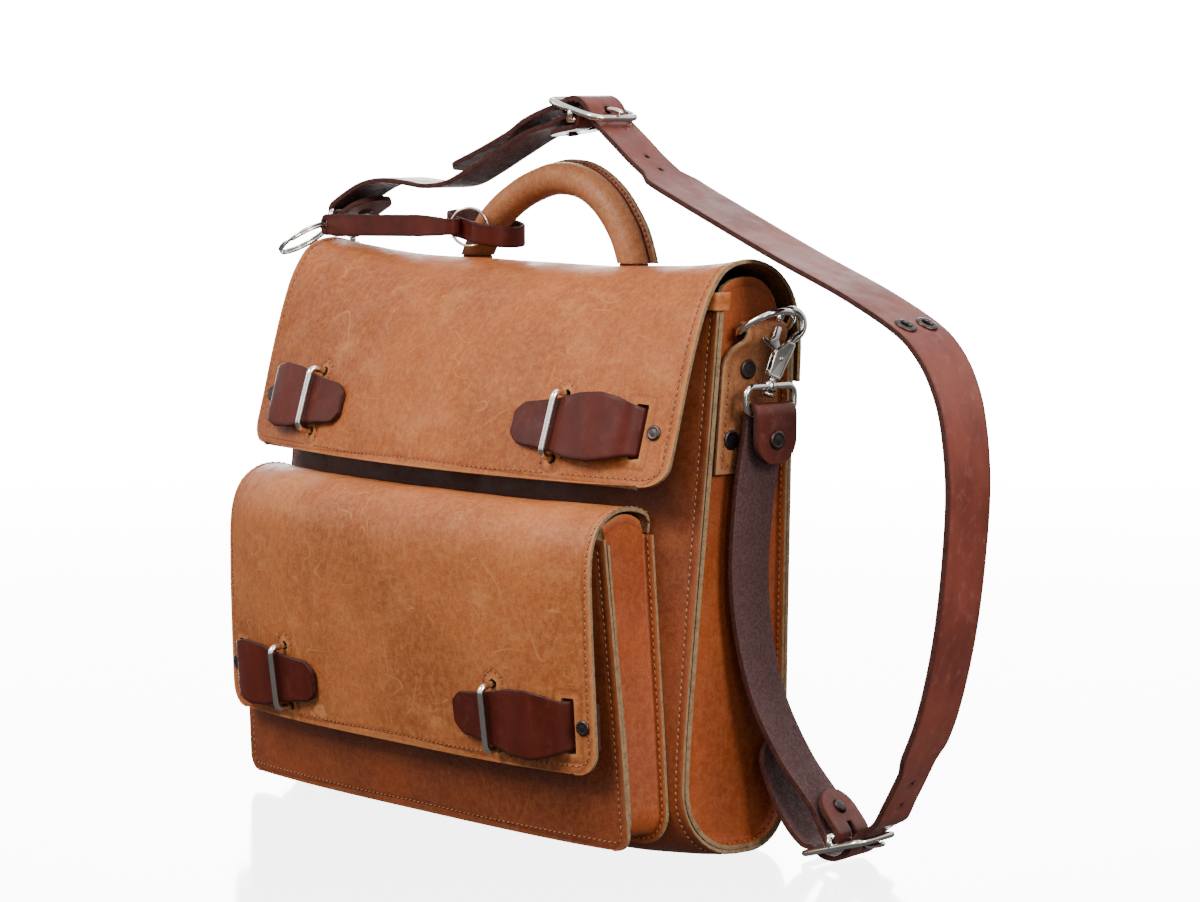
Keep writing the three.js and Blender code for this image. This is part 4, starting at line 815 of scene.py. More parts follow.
class Smith:
    """Metal shapes: wires, turned pieces and plates."""

    @staticmethod
    def wire(
        bm: Mesh,
        points: Line,
        radius: float | Sequence[float],
        closed: bool = False,
        sides: int = 14,
    ) -> None:
        """Adds a round wire along a path.

        Args:
            bm: Mesh that gets the wire.
            points: The wire's middle line.
            radius: Radius of the wire, or one for each point.
            closed: Whether the wire meets its own start.
            sides: Number of sides.
        """
        radii = [radius] * len(points) if isinstance(radius, (int, float)) else list(radius)
        travel = directions(points, closed)
        aside = travel[0].orthogonal().normalized()
        ring = bmesh.ops.create_circle(bm, segments=sides, radius=1.0)["verts"]
        first, held = list(ring), set(ring)
        edges = [e for e in bm.edges if e.verts[0] in held and e.verts[1] in held]
        for i, point in enumerate(points):
            aside = (aside - travel[i] * aside.dot(travel[i])).normalized()
            if i:
                made = bmesh.ops.extrude_edge_only(bm, edges=edges)["geom"]
                edges = [g for g in made if isinstance(g, Edge) and all(v in made for v in g.verts)]
                ring = Smith.in_order(ring, made)
            over = travel[i].cross(aside)
            for s, vert in enumerate(ring):
                angle = 2 * pi * s / sides
                vert.co = point + (aside * cos(angle) + over * sin(angle)) * radii[i]
        if closed:
            Smith.close(bm, ring, first)
        else:
            bmesh.ops.contextual_create(bm, geom=ring)
            bmesh.ops.contextual_create(bm, geom=first)
        bmesh.ops.recalc_face_normals(bm, faces=bm.faces)

    @staticmethod
    def in_order(ring: Sequence[Vert], made: Sequence[bmesh.types.BMElem]) -> list[Vert]:
        """Extruded copies of a ring's points, in the ring's order."""
        fresh = {v for v in made if isinstance(v, Vert)}
        return [next(e.other_vert(v) for e in v.link_edges if e.other_vert(v) in fresh) for v in ring]

    @staticmethod
    def close(bm: Mesh, last: Sequence[Vert], first: Sequence[Vert]) -> None:
        """Joins the last ring of a closed wire to its first."""
        both = [set(last), set(first)]
        loops = [e for ring in both for v in ring for e in v.link_edges if e.other_vert(v) in ring]
        bmesh.ops.bridge_loops(bm, edges=list(dict.fromkeys(loops)))

    @staticmethod
    def turned(bm: Mesh, profile: Sequence[tuple[float, float]], place: Matrix, steps: int = 28) -> None:
        """Adds a turned shape.

        Args:
            bm: Mesh that gets the shape.
            profile: Radius and height of each point of its outline.
            place: Matrix from the shape's own axis, which is Z.
            steps: Number of steps round the axis.
        """
        verts = [bm.verts.new((r, 0, h)) for r, h in profile]
        edges = [bm.edges.new(pair) for pair in zip(verts, verts[1:])]
        before = set(bm.verts) - set(verts)
        turn = {"axis": Z_AXIS, "cent": (0, 0, 0), "angle": 2 * pi, "steps": steps, "use_merge": True}
        bmesh.ops.spin(bm, geom=verts + edges, **turn)
        made = [v for v in bm.verts if v not in before]
        bmesh.ops.remove_doubles(bm, verts=made, dist=0.001)
        made = [v for v in bm.verts if v not in before]
        bmesh.ops.transform(bm, matrix=place, verts=made)
        bmesh.ops.recalc_face_normals(bm, faces=list({f for v in made for f in v.link_faces}))

    @staticmethod
    def rounded(bm: Mesh, edges: list[Edge], radius: float, segments: int) -> None:
        """Rounds some edges."""
        settings = {"profile": 0.5, "affect": "EDGES", "clamp_overlap": True, "material": -1}
        bmesh.ops.bevel(bm, geom=edges, offset=radius, segments=segments, **settings)

    @staticmethod
    def plate(
        bm: Mesh,
        outline: Sequence[tuple[float, float]],
        thickness: float,
        offset: float,
        place: Matrix,
        soften: float,
        inlay: bool = False,
    ) -> None:
        """Adds a flat plate with rounded borders.

        Args:
            bm: Mesh that gets the plate.
            outline: Corners of the plate.
            thickness: Thickness of the plate.
            offset: Height of its middle.
            place: Matrix from the plate's own frame.
            soften: Radius of its borders.
            inlay: Whether its faces are sunk and matt.
        """
        part = bmesh.new()
        face = part.faces.new([part.verts.new((u, w, offset - thickness / 2)) for u, w in outline])
        made = bmesh.ops.extrude_face_region(part, geom=[face])["geom"]
        bmesh.ops.translate(part, vec=(0, 0, thickness), verts=[g for g in made if isinstance(g, Vert)])
        bmesh.ops.recalc_face_normals(part, faces=part.faces)

        def rise(edge: Edge) -> float:
            """Height between an edge's ends."""
            return abs(edge.verts[0].co.z - edge.verts[1].co.z)

        Smith.rounded(part, [e for e in part.edges if rise(e) > thickness / 2], 1.3, 4)
        level = [e for e in part.edges if rise(e) < 1e-4 and len(e.link_faces) == 2]
        Smith.rounded(part, [e for e in level if e.calc_face_angle() > 0.5], soften, 3)
        if inlay:
            for face in [f for f in part.faces if abs(f.normal.z) > 0.99 and f.calc_area() > 20]:
                bmesh.ops.inset_region(part, faces=[face], thickness=0.9, depth=-0.25, use_even_offset=True)
                face.material_index = 1
        bmesh.ops.transform(part, matrix=place, verts=part.verts)
        join_mesh(bm, part)

    @staticmethod
    def rivet(point: Vector, direction: Vector, radius: float, stack: float) -> Mesh:
        """Rivet with a ringed cap on the side of the direction."""
        bm = bmesh.new()
        face = stack / 2 + GAP
        stud = radius * 0.45
        profile = [
            (0, -face - 1.2), (radius * 0.5, -face - 1.0), (radius * 0.85, -face), (stud, -face),
            (stud, face), (radius * 0.97, face), (radius, face + 0.25), (radius * 0.95, face + 0.72),
            (radius * 0.8, face + 0.98), (radius * 0.66, face + 0.96), (radius * 0.58, face + 0.78),
            (radius * 0.48, face + 0.84), (radius * 0.25, face + 1.0), (0, face + 1.04),
        ]
        Smith.turned(bm, profile, turned_to(direction, point))
        return bm


@dataclass
class Seams:
    """Rows of stitches with the painted shade of their holes, gathered as one piece."""

    pitch: float = 3.9
    length: float = 2.7
    width: float = 1.1
    height: float = 0.4
    places: list[Matrix] = field(default_factory=list)

    def sew(
        self, path: Sequence[Skin], hide: Hide | None = None, skip: Callable[[Vector], bool] | None = None
    ) -> None:
        """Sews along a path.

        Args:
            path: Places near the leather with the directions off it.
            hide: The leather that the stitches lie on, if they leave the path for it.
            skip: Says where no stitch is made.
        """
        spare = self.pitch / 2
        for (a, na), (b, nb) in zip(path, path[1:]):
            span = (b - a).length
            if span < 1e-6:
                continue
            along = (b - a) / span
            while spare <= span:
                spot, off = a.lerp(b, spare / span), na.lerp(nb, spare / span).normalized()
                if not (skip and skip(spot)):
                    spot, off = hide.settled(spot, off) if hide else (spot, off)
                    self.stitch(spot, along, off)
                spare += self.pitch
            spare -= span

    def stitch(self, spot: Vector, along: Vector, off: Vector) -> None:
        """Lays one stitch, a little slanted."""
        over = off.cross(along).normalized()
        slant = (over.cross(off) + over * 0.1).normalized()
        turn = Matrix((slant * self.length / 2, off.cross(slant) * self.width / 2, off * self.height))
        self.places.append(Matrix.Translation(spot) @ turn.transposed().to_4x4())

    def mesh(self) -> Mesh:
        """Mesh of every stitch and of the dark painted-shade hole at its end."""
        whole = bmesh.new()
        hole = Matrix.Translation((self.pitch / self.length, 0, -0.1)) @ Matrix.Diagonal((0.48, 1.05, 0.6, 1))
        for start in range(0, len(self.places), 50):
            part = bmesh.new()
            for place in self.places[start : start + 50]:
                ball = {"u_segments": 6, "radius": 1.0}
                bmesh.ops.create_uvsphere(part, v_segments=4, matrix=place, **ball)
                # Dark blob in the hole material: painted shade of the stitch hole.
                dark = bmesh.ops.create_uvsphere(part, v_segments=3, matrix=place @ hole, **ball)
                for face in {f for v in dark["verts"] for f in v.link_faces}:
                    face.material_index = 1
            join_mesh(whole, part)
        return whole

    def finish(self, shop: Shop, name: str) -> None:
        """Makes the stitches a piece."""
        shop.show(self.mesh(), name, (shop.thread, shop.stitch_hole_shade))


@dataclass
class RoundedSheet:
    """A sheet with two round corners at its lower edge, by distances across it and above that edge."""

    surface: Surface
    half_at: Callable[[float], float]
    corner: float
    middle: Vector

    def width(self, up: float) -> float:
        """Half width at a distance above the lower edge."""
        cut = max(self.corner - up, 0.0)
        return self.half_at(up) - self.corner + sqrt(max(self.corner**2 - cut**2, 0.0))

    def grid(self, ups: Sequence[float], spread: float, step: float) -> Grid:
        """Grid with rows at distances above the lower edge and columns counted on a half width."""
        shares = [d / spread - 1 for d in stops(2 * spread, step)]
        widths = [(up, self.width(up)) for up in ups]
        return [[self.surface(share * half, up) for share in shares] for up, half in widths]

    def skin(self, x: float, up: float, lift: float = 0.0) -> Skin:
        """Place at a distance off the sheet, with the direction off its outer side."""
        here = self.surface(x, up)
        along = self.surface(x + 0.5, up) - self.surface(x - 0.5, up)
        normal = along.cross(self.surface(x, up + 0.5) - self.surface(x, up - 0.5)).normalized()
        if normal.dot(here - self.middle) < 0:
            normal.negate()
        return here + normal * lift, normal

    def border(self, half: float, top: float) -> list[Skin]:
        """Sewing path from a height down one side, along the lower edge and up the other side."""
        level = half - self.corner
        flat = [(-(half - SEAM), lerp(top, self.corner, i / 60)) for i in range(61)]
        turn = [radians(lerp(180, 270, i / 8)) for i in range(1, 9)]
        inner = self.corner - SEAM
        flat += [(-level + inner * cos(a), self.corner + inner * sin(a)) for a in turn]
        run = [(lerp(-level, level, i / 110), SEAM) for i in range(1, 111)]
        right = [(-x, up) for x, up in reversed(flat)]
        return [self.skin(x, up) for x, up in flat + run + right]

    def sew_loops(self, seams: Seams, hide: Hide, loops: Sequence[float], upper: float) -> None:
        """Sews rows beside each loop's lower foot and an arch over its upper foot."""
        arch = ((7.4, -1), (7.4, 5), (0, 10), (-7.4, 5), (-7.4, -1))
        for x in loops:
            for way in (-1, 1):
                seams.sew([self.skin(x + way * 6.8, SEAM + 2 + k) for k in (0, 4, 8, 11)], hide)
            seams.sew([self.skin(x + across, upper + up) for across, up in arch], hide)


def near_loops(loops: Sequence[float], below: float) -> Callable[[Vector], bool]:
    """Test for places under a loop, where a flap's front row is broken."""
    return lambda place: place.z < below and any(abs(place.x - x) < 6.5 for x in loops)


@dataclass
class Case:
    """The stuffed case: one wrap of leather, two end panels and the main flap."""

    front_top: float = 312.0
    back_top: float = 284.0
    panel_top: float = 308.0
    panel_inset: float = 7.0
    crest_rows: int = 8
    front_corner: tuple[float, float] = (40.0, 12.0)
    back_corner: tuple[float, float] = (27.0, 12.0)
    flap_half: float = 191.0
    flap_drop: float = 170.0
    flap_leather: float = 236.0
    flap_seam_top: float = 166.0
    rear_rows: tuple[float, float] = (163.0, 158.5)
    loop_foot: float = 51.0
    rim: float = 5.5
    middle: Vector = field(default_factory=lambda: Vector((0, 6, 170)))
    hides: dict[str, Hide] = field(default_factory=dict)
    flap: RoundedSheet = field(init=False)

    def __post_init__(self) -> None:
        """Sets out the main flap."""
        self.flap = RoundedSheet(self.flap_point, lambda _: self.flap_half, 16.0, self.middle)

    @staticmethod
    def fullness(x: float) -> float:
        """Share of the full swell at a place across the case."""
        return 1 - abs(x / HALF_WIDTH) ** 3

    def front_y(self, x: float, z: float) -> float:
        """Place of the front's middle surface."""
        return FRONT.at("y", z) - FRONT.at("swell", z) * self.fullness(x)

    def back_y(self, x: float, z: float) -> float:
        """Place of the back's middle surface."""
        return BACK.at("y", z) + BACK.at("swell", z) * self.fullness(x)

    def corner(self, radii: tuple[float, float], x: float) -> float:
        """Radius of a bottom corner, round at the ends and pressed flatter between."""
        return radii[0] + (radii[1] - radii[0]) * (1 - abs(x / HALF_WIDTH) ** 6)

    def section(
        self, x: float, front_top: float, back_top: float, inset: float, rows: int, turns: int
    ) -> Line:
        """Middle line of the wall from the front's top under the bottom to the back's top.

        Args:
            x: Place across the case.
            front_top: Height of the front end.
            back_top: Height of the rear end.
            inset: Distance inside the wall.
            rows: Number of steps on the front and on the back.
            turns: Number of steps in a corner.

        Returns:
            Points of the line.
        """
        floor = LEATHER / 2 + inset
        walls = (
            (1, self.front_y, self.corner(self.front_corner, x), front_top),
            (-1, self.back_y, self.corner(self.back_corner, x), back_top),
        )
        lines, centres = [], []
        for way, wall_y, radius, top in walls:
            centre = wall_y(x, radius) + way * radius
            heights = [lerp(top, radius, i / rows) for i in range(rows + 1)]
            line = [Vector((x, wall_y(x, z) + way * inset, z)) for z in heights]
            for i in range(1, turns + 1):
                angle = pi / 2 * i / turns
                y = centre - way * (radius - inset) * cos(angle)
                line.append(Vector((x, y, radius + (floor - radius) * sin(angle))))
            lines.append(line)
            centres.append(centre)
        return [*lines[0], Vector((x, sum(centres) / 2, floor)), *reversed(lines[1])]

    def flap_point(self, x: float, down: float) -> Vector:
        """Point of the main flap's middle surface at a distance above its front edge."""
        v = 1 - down / self.flap_drop
        swell = FLAP.at("swell", v) * (1 - abs(x / self.flap_half) ** 2)
        sag = FLAP.at("sag", v) * (1 - abs(x / self.flap_half) ** 4)
        return Vector((x, FLAP.at("y", v) - swell, FLAP.at("z", v) - sag))

    def flap_top(self, x: float, y: float) -> float:
        """Height of the main flap's upper side over a place on its top."""
        v = boundary(0.12, 0.42, lambda v: self.flap_point(x, (1 - v) * self.flap_drop).y > y)
        return self.flap_point(x, (1 - v) * self.flap_drop).z + LEATHER / 2

    def build(self, shop: Shop, flap_holes: list[Hole]) -> None:
        """Makes the case's pieces.

        Args:
            shop: Where pieces are finished.
            flap_holes: Openings in the main flap for its closures.
        """
        tan, side_leather = shop.tan, shop.side
        columns = [d - HALF_WIDTH for d in stops(2 * HALF_WIDTH, 4.5)]
        sections = [self.section(x, self.front_top, self.back_top, 0, 54, 9) for x in columns]
        grid = [list(row) for row in zip(*sections)]
        self.hides["wrap"] = Hide(grid, LEATHER, flipped=True, relief=Relief(0.5))
        # The wrap's darker leather is partly painted shade and carries the painted shadow under the main
        # flap.
        shop.leather(self.hides["wrap"], shop.darker_shaded, "case_wrap")
        for side in Side:
            right = side is Side.RIGHT
            hide = Hide(self.panel(side.value), LEATHER, right, relief=Relief(0.45, 40, 0.0))
            self.hides[side.label] = hide
            shop.leather(hide, side_leather, f"side_panel_{side.label}")
            tab = Hide(self.tab(side.value), THIN_LEATHER, right)
            shop.leather(tab, tan, f"seam_tab_{side.label}", 0.35)
        downs = [d * self.flap_drop / self.flap_leather for d in stops(self.flap_leather, 3.2)]
        grid = self.flap.grid(downs[::-1], HALF_WIDTH, 3.6)
        self.hides["flap"] = Hide(grid, LEATHER, flipped=True, holes=flap_holes, relief=Relief(0.9, 60))
        shop.leather(self.hides["flap"], tan, "main_flap")

    def panel(self, side: int) -> Grid:
        """Grid of an end panel: a shallow tray with its rim turned out."""
        inset = LEATHER + 0.08
        line = self.section(side * HALF_WIDTH, self.panel_top, self.back_top - 4, inset, 50, 10)
        half = (len(line) - 1) // 2
        rim = [0, 0.3, 0.6, 0.9, 1.3, 1.8, 2.4, 3.2, 4.2, self.rim]
        grid = []
        for i in range(half):
            front, back = line[i], line[-1 - i]
            depth = back.y - front.y
            above = max(max(front.z, back.z) - LEATHER / 2 - inset, 0.0)
            inner = [front.y + self.rim + (depth - 2 * self.rim) * k / 14 for k in range(1, 14)]
            row = []
            for y in [front.y + s for s in rim] + inner + [back.y - s for s in reversed(rim)]:
                share = (y - front.y) / depth
                raised = PANEL_CREST.at("z", share) - lerp(self.panel_top, self.back_top - 4, share)
                z = lerp(front.z, back.z, share) + raised * max(1 - i / self.crest_rows, 0.0)
                edge = min(y - front.y, back.y - y, above)
                out = RIM.at("out", min(edge, self.rim))
                dent = 2.2 * smoothstep(235, 300, z) * sin(pi * min(max(share, 0.0), 1.0)) ** 2
                x = HALF_WIDTH - self.panel_inset * (1 - out) - dent * (1 - out)
                row.append(Vector((side * x, y, z)))
            grid.append(row)
        return grid

    def tab(self, side: int) -> Grid:
        """Grid of the small tab folded round the top of a front end seam."""
        off = LEATHER / 2 + GAP + THIN_LEATHER / 2 + 1.4
        fold = [(184, -off), (187, -off), (189.6, -off), (190.8, 0.5 - off), (191.5, 1.7 - off)]
        fold += [(191.5, -1), (191.5, 1), (191.5, 3), (191.5, 4.6), (191, 5.9), (190.2, 6.5), (188.6, 6.6)]
        heights = [lerp(304, 314, i / 5) for i in range(6)]

        def place(x: float, reach: float, z: float) -> Vector:
            """Point of the tab at a reach behind the front."""
            return Vector((side * x, self.front_y(min(x, HALF_WIDTH), min(z, self.front_top)) + reach, z))

        return [[place(x, reach, z) for z in heights] for x, reach in fold]

    def dress(self, shop: Shop, loops: Sequence[float]) -> None:
        """Sews the case's seams.

        Args:
            shop: Where pieces are finished.
            loops: Places of the closure loops across the main flap.
        """
        seams = Seams()
        flap, wrap = self.hides["flap"], self.hides["wrap"]
        seams.sew(self.flap.border(self.flap_half, self.flap_seam_top), flap, near_loops(loops, 221))
        self.flap.sew_loops(seams, flap, loops, self.loop_foot)
        for down in self.rear_rows:
            seams.sew([self.flap.skin(lerp(-180, 180, i / 90), down) for i in range(91)], flap)
        for side in Side:
            x = side.value * (HALF_WIDTH - SEAM)
            line = self.section(x, self.front_top - 4, self.back_top, 0, 60, 10)
            seams.sew(self.off_wall(line, -1), wrap)
            x = side.value * (HALF_WIDTH - 3.4)
            line = self.section(x, self.panel_top, self.back_top - 6, LEATHER + 0.6, 60, 10)
            seams.sew(self.off_wall(line, 1), self.hides[side.label])
        seams.finish(shop, "case_seams")

    def off_wall(self, line: Line, way: int) -> list[Skin]:
        """Path along a section, with directions off the wall's inner side for 1 and outer side for -1."""
        found = []
        for point, travel in zip(line, directions(line)):
            normal = travel.cross(X_AXIS).normalized()
            if normal.dot(self.middle - point) * way < 0:
                normal.negate()
            found.append((point, normal))
        return found


@dataclass
class FrontPocket:
    """The flapped pocket on the front."""

    case: Case
    bottom: float = 7.0
    lower_half: float = 177.0
    corner: float = 10.0
    gusset_bottom: float = 14.0
    gusset_bend: float = 12.0
    gusset_top: float = 177.0
    gusset_rear_top: float = 180.0
    front_height: float = 173.0
    front_spread: float = 175.0
    front_seam_top: float = 168.0
    flap_drop: float = 210.0
    flap_half: float = 170.0
    flap_leather: float = 246.0
    flap_spread: float = 168.0
    flap_seam_top: float = 196.0
    loop_foot: float = 43.0
    middle: Vector = field(default_factory=lambda: Vector((0, -30, 100)))
    hides: dict[str, Hide] = field(default_factory=dict)
    flap: RoundedSheet = field(init=False)

    def __post_init__(self) -> None:
        """Sets out the pocket flap."""

        def half_at(down: float) -> float:
            """Half width of the flap above its round corners."""
            return POCKET_FLAP.at("half", 1 - down / self.flap_drop)

        self.flap = RoundedSheet(self.flap_point, half_at, 14.0, self.middle)

    def y(self, x: float, z: float) -> float:
        """Place of the pocket front's middle surface."""
        return self.case.front_y(x, z) - POCKET.at("depth", z)

    def front_point(self, x: float, z: float) -> Vector:
        """Point of the pocket front's middle surface."""
        return Vector((x, self.y(x, z), z))

    def flap_point(self, x: float, down: float) -> Vector:
        """Point of the pocket flap's middle surface at a distance above its front edge."""
        v = 1 - down / self.flap_drop
        z = POCKET_FLAP.at("z", v)
        return Vector((x, self.case.front_y(x, z) - POCKET_FLAP.at("depth", v), z))

    def half_at(self, height: float) -> float:
        """Half width of the pocket front above its round corners."""
        return POCKET.at("half", self.bottom + height)

    def build(self, shop: Shop, flap_holes: list[Hole]) -> None:
        """Makes the pocket's pieces.

        Args:
            shop: Where pieces are finished.
            flap_holes: Openings in the pocket flap for its closures.
        """

        def panel(x: float, height: float) -> Vector:
            """Point of the pocket front above its bottom edge."""
            return self.front_point(x, self.bottom + height)

        front = RoundedSheet(panel, self.half_at, self.corner, self.middle)
        grid = front.grid(stops(self.front_height, 4.0), self.front_spread, 4.5)
        self.hides["front"] = Hide(grid, LEATHER, relief=Relief(0.5))
        # The pocket front's darker leather is partly painted shade below the pocket flap.
        shop.leather(self.hides["front"], shop.darker_shaded, "pocket_front")
        self.hides["gusset"] = Hide(self.gusset(), LEATHER, relief=Relief(0.25, 30, 0.0))
        shop.leather(self.hides["gusset"], shop.side, "pocket_gusset")
        downs = [d * self.flap_drop / self.flap_leather for d in stops(self.flap_leather, 3.4)]
        grid = self.flap.grid(downs[::-1], self.flap_spread, 3.6)
        self.hides["flap"] = Hide(grid, LEATHER, flipped=True, holes=flap_holes, relief=Relief(0.9, 58))
        # The pocket flap's lighter tan is painted light, making up for the weaker light on its upright face.
        shop.leather(self.hides["flap"], shop.pocket, "pocket_flap")

    def gusset(self) -> Grid:
        """Grid of the strip down one side, along the bottom and up the other, its borders turned out."""
        bend, rows, turns = self.gusset_bend, 44, 8
        heights = [lerp(self.gusset_top, self.gusset_bottom + bend, i / rows) for i in range(rows + 1)]
        stations = [(1, 0, z, 1, 0, 2) for z in heights]
        for i in range(1, turns + 1):
            angle = pi / 2 * i / turns
            height = self.gusset_bottom + bend * (1 - sin(angle))
            stations.append((1, bend * (1 - cos(angle)), height, cos(angle), -sin(angle), 2))
        left = [(-s, inward, z, -ox, oz, share) for s, inward, z, ox, oz, share in reversed(stations)]
        shares = [lerp(0.9, -0.9, i / 70) for i in range(71)]
        between = [(1, 0, self.gusset_bottom, 0, -1, share) for share in shares]
        return [self.gusset_row(*station) for station in stations + between + left]

    def gusset_row(
        self, side: float, inward: float, z: float, out_x: float, out_z: float, share: float
    ) -> Line:
        """One row of the gusset, from its rear border to its front border.

        Args:
            side: End of the pocket, -1 or 1.
            inward: Distance from the upright wall towards the middle.
            z: Height of the wall.
            out_x: Share of X in the direction out of the gusset.
            out_z: Share of Z in it.
            share: Share of the half width along the bottom, or 2 elsewhere.

        Returns:
            The row's points.
        """
        base, top, rear_top = self.gusset_bottom, self.gusset_top, self.gusset_rear_top
        upright = share > 1

        def place(column: str, out: float, front: bool) -> Vector:
            """Point of a border at a distance outside the gusset's wall."""
            half = POCKET.at(column, max(z, base + self.gusset_bend))
            x = (side * (half - inward) if upright else share * half) + out_x * out
            lower = 0.0 if front else (z - base) * (top - rear_top) / (top - base)
            height = z + out_z * out - lower
            off = LEATHER + 0.08
            y = self.y(x, height) + off if front else self.case.front_y(x, height) - off
            return Vector((x, y, height))

        rear = [place("wall_rear", d, False) for d in (6, 4.6, 3.2, 1.8, 1)]
        front = [place("wall_front", d, True) for d in (1, 1.8, 3.2, 4.6, 6)]
        rear_wall = place("wall_rear", 0, False) - Y_AXIS * 1.4
        front_wall = place("wall_front", 0, True) + Y_AXIS * 1.4
        wall = []
        rise = max((z - 139.25) / (top - 139.25), 0.0) if upright else 0.0
        for k in (0, 0.03, 0.08, 0.16, 0.28, 0.4, 0.5, 0.62, 0.75, 0.88, 1):
            point = rear_wall.lerp(front_wall, k)
            point.z += rise * (GUSSET_CREST.at("z", k) - lerp(rear_top, top, k))
            wall.append(point)
        return rear + wall + front

    def dress(self, shop: Shop, loops: Sequence[float]) -> None:
        """Sews the pocket's seams.

        Args:
            shop: Where pieces are finished.
            loops: Places of the closure loops across the pocket flap.
        """
        seams = Seams()
        flap = self.hides["flap"]
        seams.sew(self.flap.border(self.flap_half, self.flap_seam_top), flap, near_loops(loops, 62))
        self.flap.sew_loops(seams, flap, loops, self.loop_foot)

        def panel(x: float, height: float) -> Vector:
            """Point of the pocket front above its bottom edge, x at the panel's lower width."""
            return self.front_point(x * self.half_at(height) / self.lower_half, self.bottom + height)

        front = RoundedSheet(panel, self.half_at, self.corner, self.middle)
        seams.sew(front.border(self.lower_half, self.front_seam_top), self.hides["front"])
        seams.sew([(row[2], -Y_AXIS) for row in self.gusset()], self.hides["gusset"])
        seams.finish(shop, "pocket_seams")


@dataclass
class Closures:
    """Tongues, wire loops and rivets of one flap."""

    name: str
    flap: RoundedSheet
    drop: float
    behind: Callable[[float, float], float]
    x: float
    z: float
    rivet: float
    slit: float
    spread: float = 37.0
    stand: float = 9.6
    reach: tuple[float, float] = (-32.0, 71.0)

    def on_flap(self, x: float, z: float) -> tuple[Vector, Vector, Vector]:
        """Place on the flap's outer side at a height, with the directions off it and up it."""
        surface = self.flap.surface
        down = boundary(0.0, 0.55 * self.drop, lambda down: surface(x, down).z <= z)
        point, normal = self.flap.skin(x, down, LEATHER / 2)
        upward = surface(x, down + 2) - surface(x, down - 2)
        return point, normal, (upward - normal * upward.dot(normal)).normalized()

    def foot_places(self) -> list[float]:
        """Places of both loops across the flap."""
        return [side.value * self.x for side in Side]

    def loop_points(self, side: int) -> Line:
        """Middle line of a wire loop, from one foot to the other."""
        corner, half = 4.0, self.spread / 2
        point, normal, upward = self.on_flap(side * self.x, self.z)
        bar = point + normal * self.stand

        def foot(way: int) -> Vector:
            """End of the wire at the leather behind the flap."""
            tip = bar + upward * (way * half)
            for _ in range(300):
                if tip.y >= self.behind(tip.x, tip.z) - LEATHER / 2 - 1.4:
                    break
                tip = tip - normal * 0.2
            return tip

        def bend(way: int) -> Line:
            """Corner of the loop."""
            centre = bar + upward * (way * (half - corner)) - normal * corner
            return arc(centre, upward * way, normal, corner, 0, 90, 8)

        return [foot(1), *bend(1), *reversed(bend(-1)), foot(-1)]

    def holes(self) -> list[Hole]:
        """Openings in the flap for the wires and the tongues."""
        found = []
        for side in Side:
            line = self.loop_points(side.value)
            _, normal, upward = self.on_flap(side.value * self.x, self.z)
            across = upward.cross(normal).normalized()
            for corner in (line[1], line[-2]):
                middle = corner - normal * (self.stand - 4 + LEATHER / 2)
                found.append(Hole(middle, across, upward, 3.2, 3.2))
            point, normal, upward = self.on_flap(side.value * self.slit, self.z)
            across = upward.cross(normal).normalized()
            found.append(Hole(point, across, upward, 4.6, 15.6, False))
        return found

    def build(self, shop: Shop) -> None:
        """Makes the closures' pieces."""
        for side in Side:
            label = f"{self.name}_{side.label}"
            bm = bmesh.new()
            Smith.wire(bm, self.loop_points(side.value), WIRE)
            shop.metal(bm, f"loop_{label}", "wire")
            spot, off, _ = self.on_flap(side.value * self.rivet, self.z)
            stack = LEATHER + TONGUE_LEATHER + 2.1
            rivet = Smith.rivet(spot - off * (stack / 2), off, 4.4, stack)
            shop.metal(rivet, f"tongue_rivet_{label}", "cap", Slot.GUNMETAL)
            grid = self.tongue(side.value)
            hide = Hide(grid, TONGUE_LEATHER, side is Side.RIGHT, relief=Relief(0.25, 25, 0.0))
            shop.leather(hide, shop.dark, f"tongue_{label}", 0.6)

    def tongue(self, side: int) -> Grid:
        """Grid of a tongue: riveted behind the flap, out through a slit and under the loop's bar."""
        grid = []
        start, end = self.reach
        for i in range(70):
            out = lerp(start, end, i / 69)
            point, normal, upward = self.on_flap(side * (self.x + out), self.z)
            middle = point + normal * TONGUE.at("rise", out)
            tip = smoothstep(0.0, 9.0, out - start)
            half = TONGUE.straight("half", out) * lerp(0.55, 1.0, tip**0.5)
            grid.append([middle + upward * (half * (2 * k / 14 - 1)) for k in range(15)])
        return grid


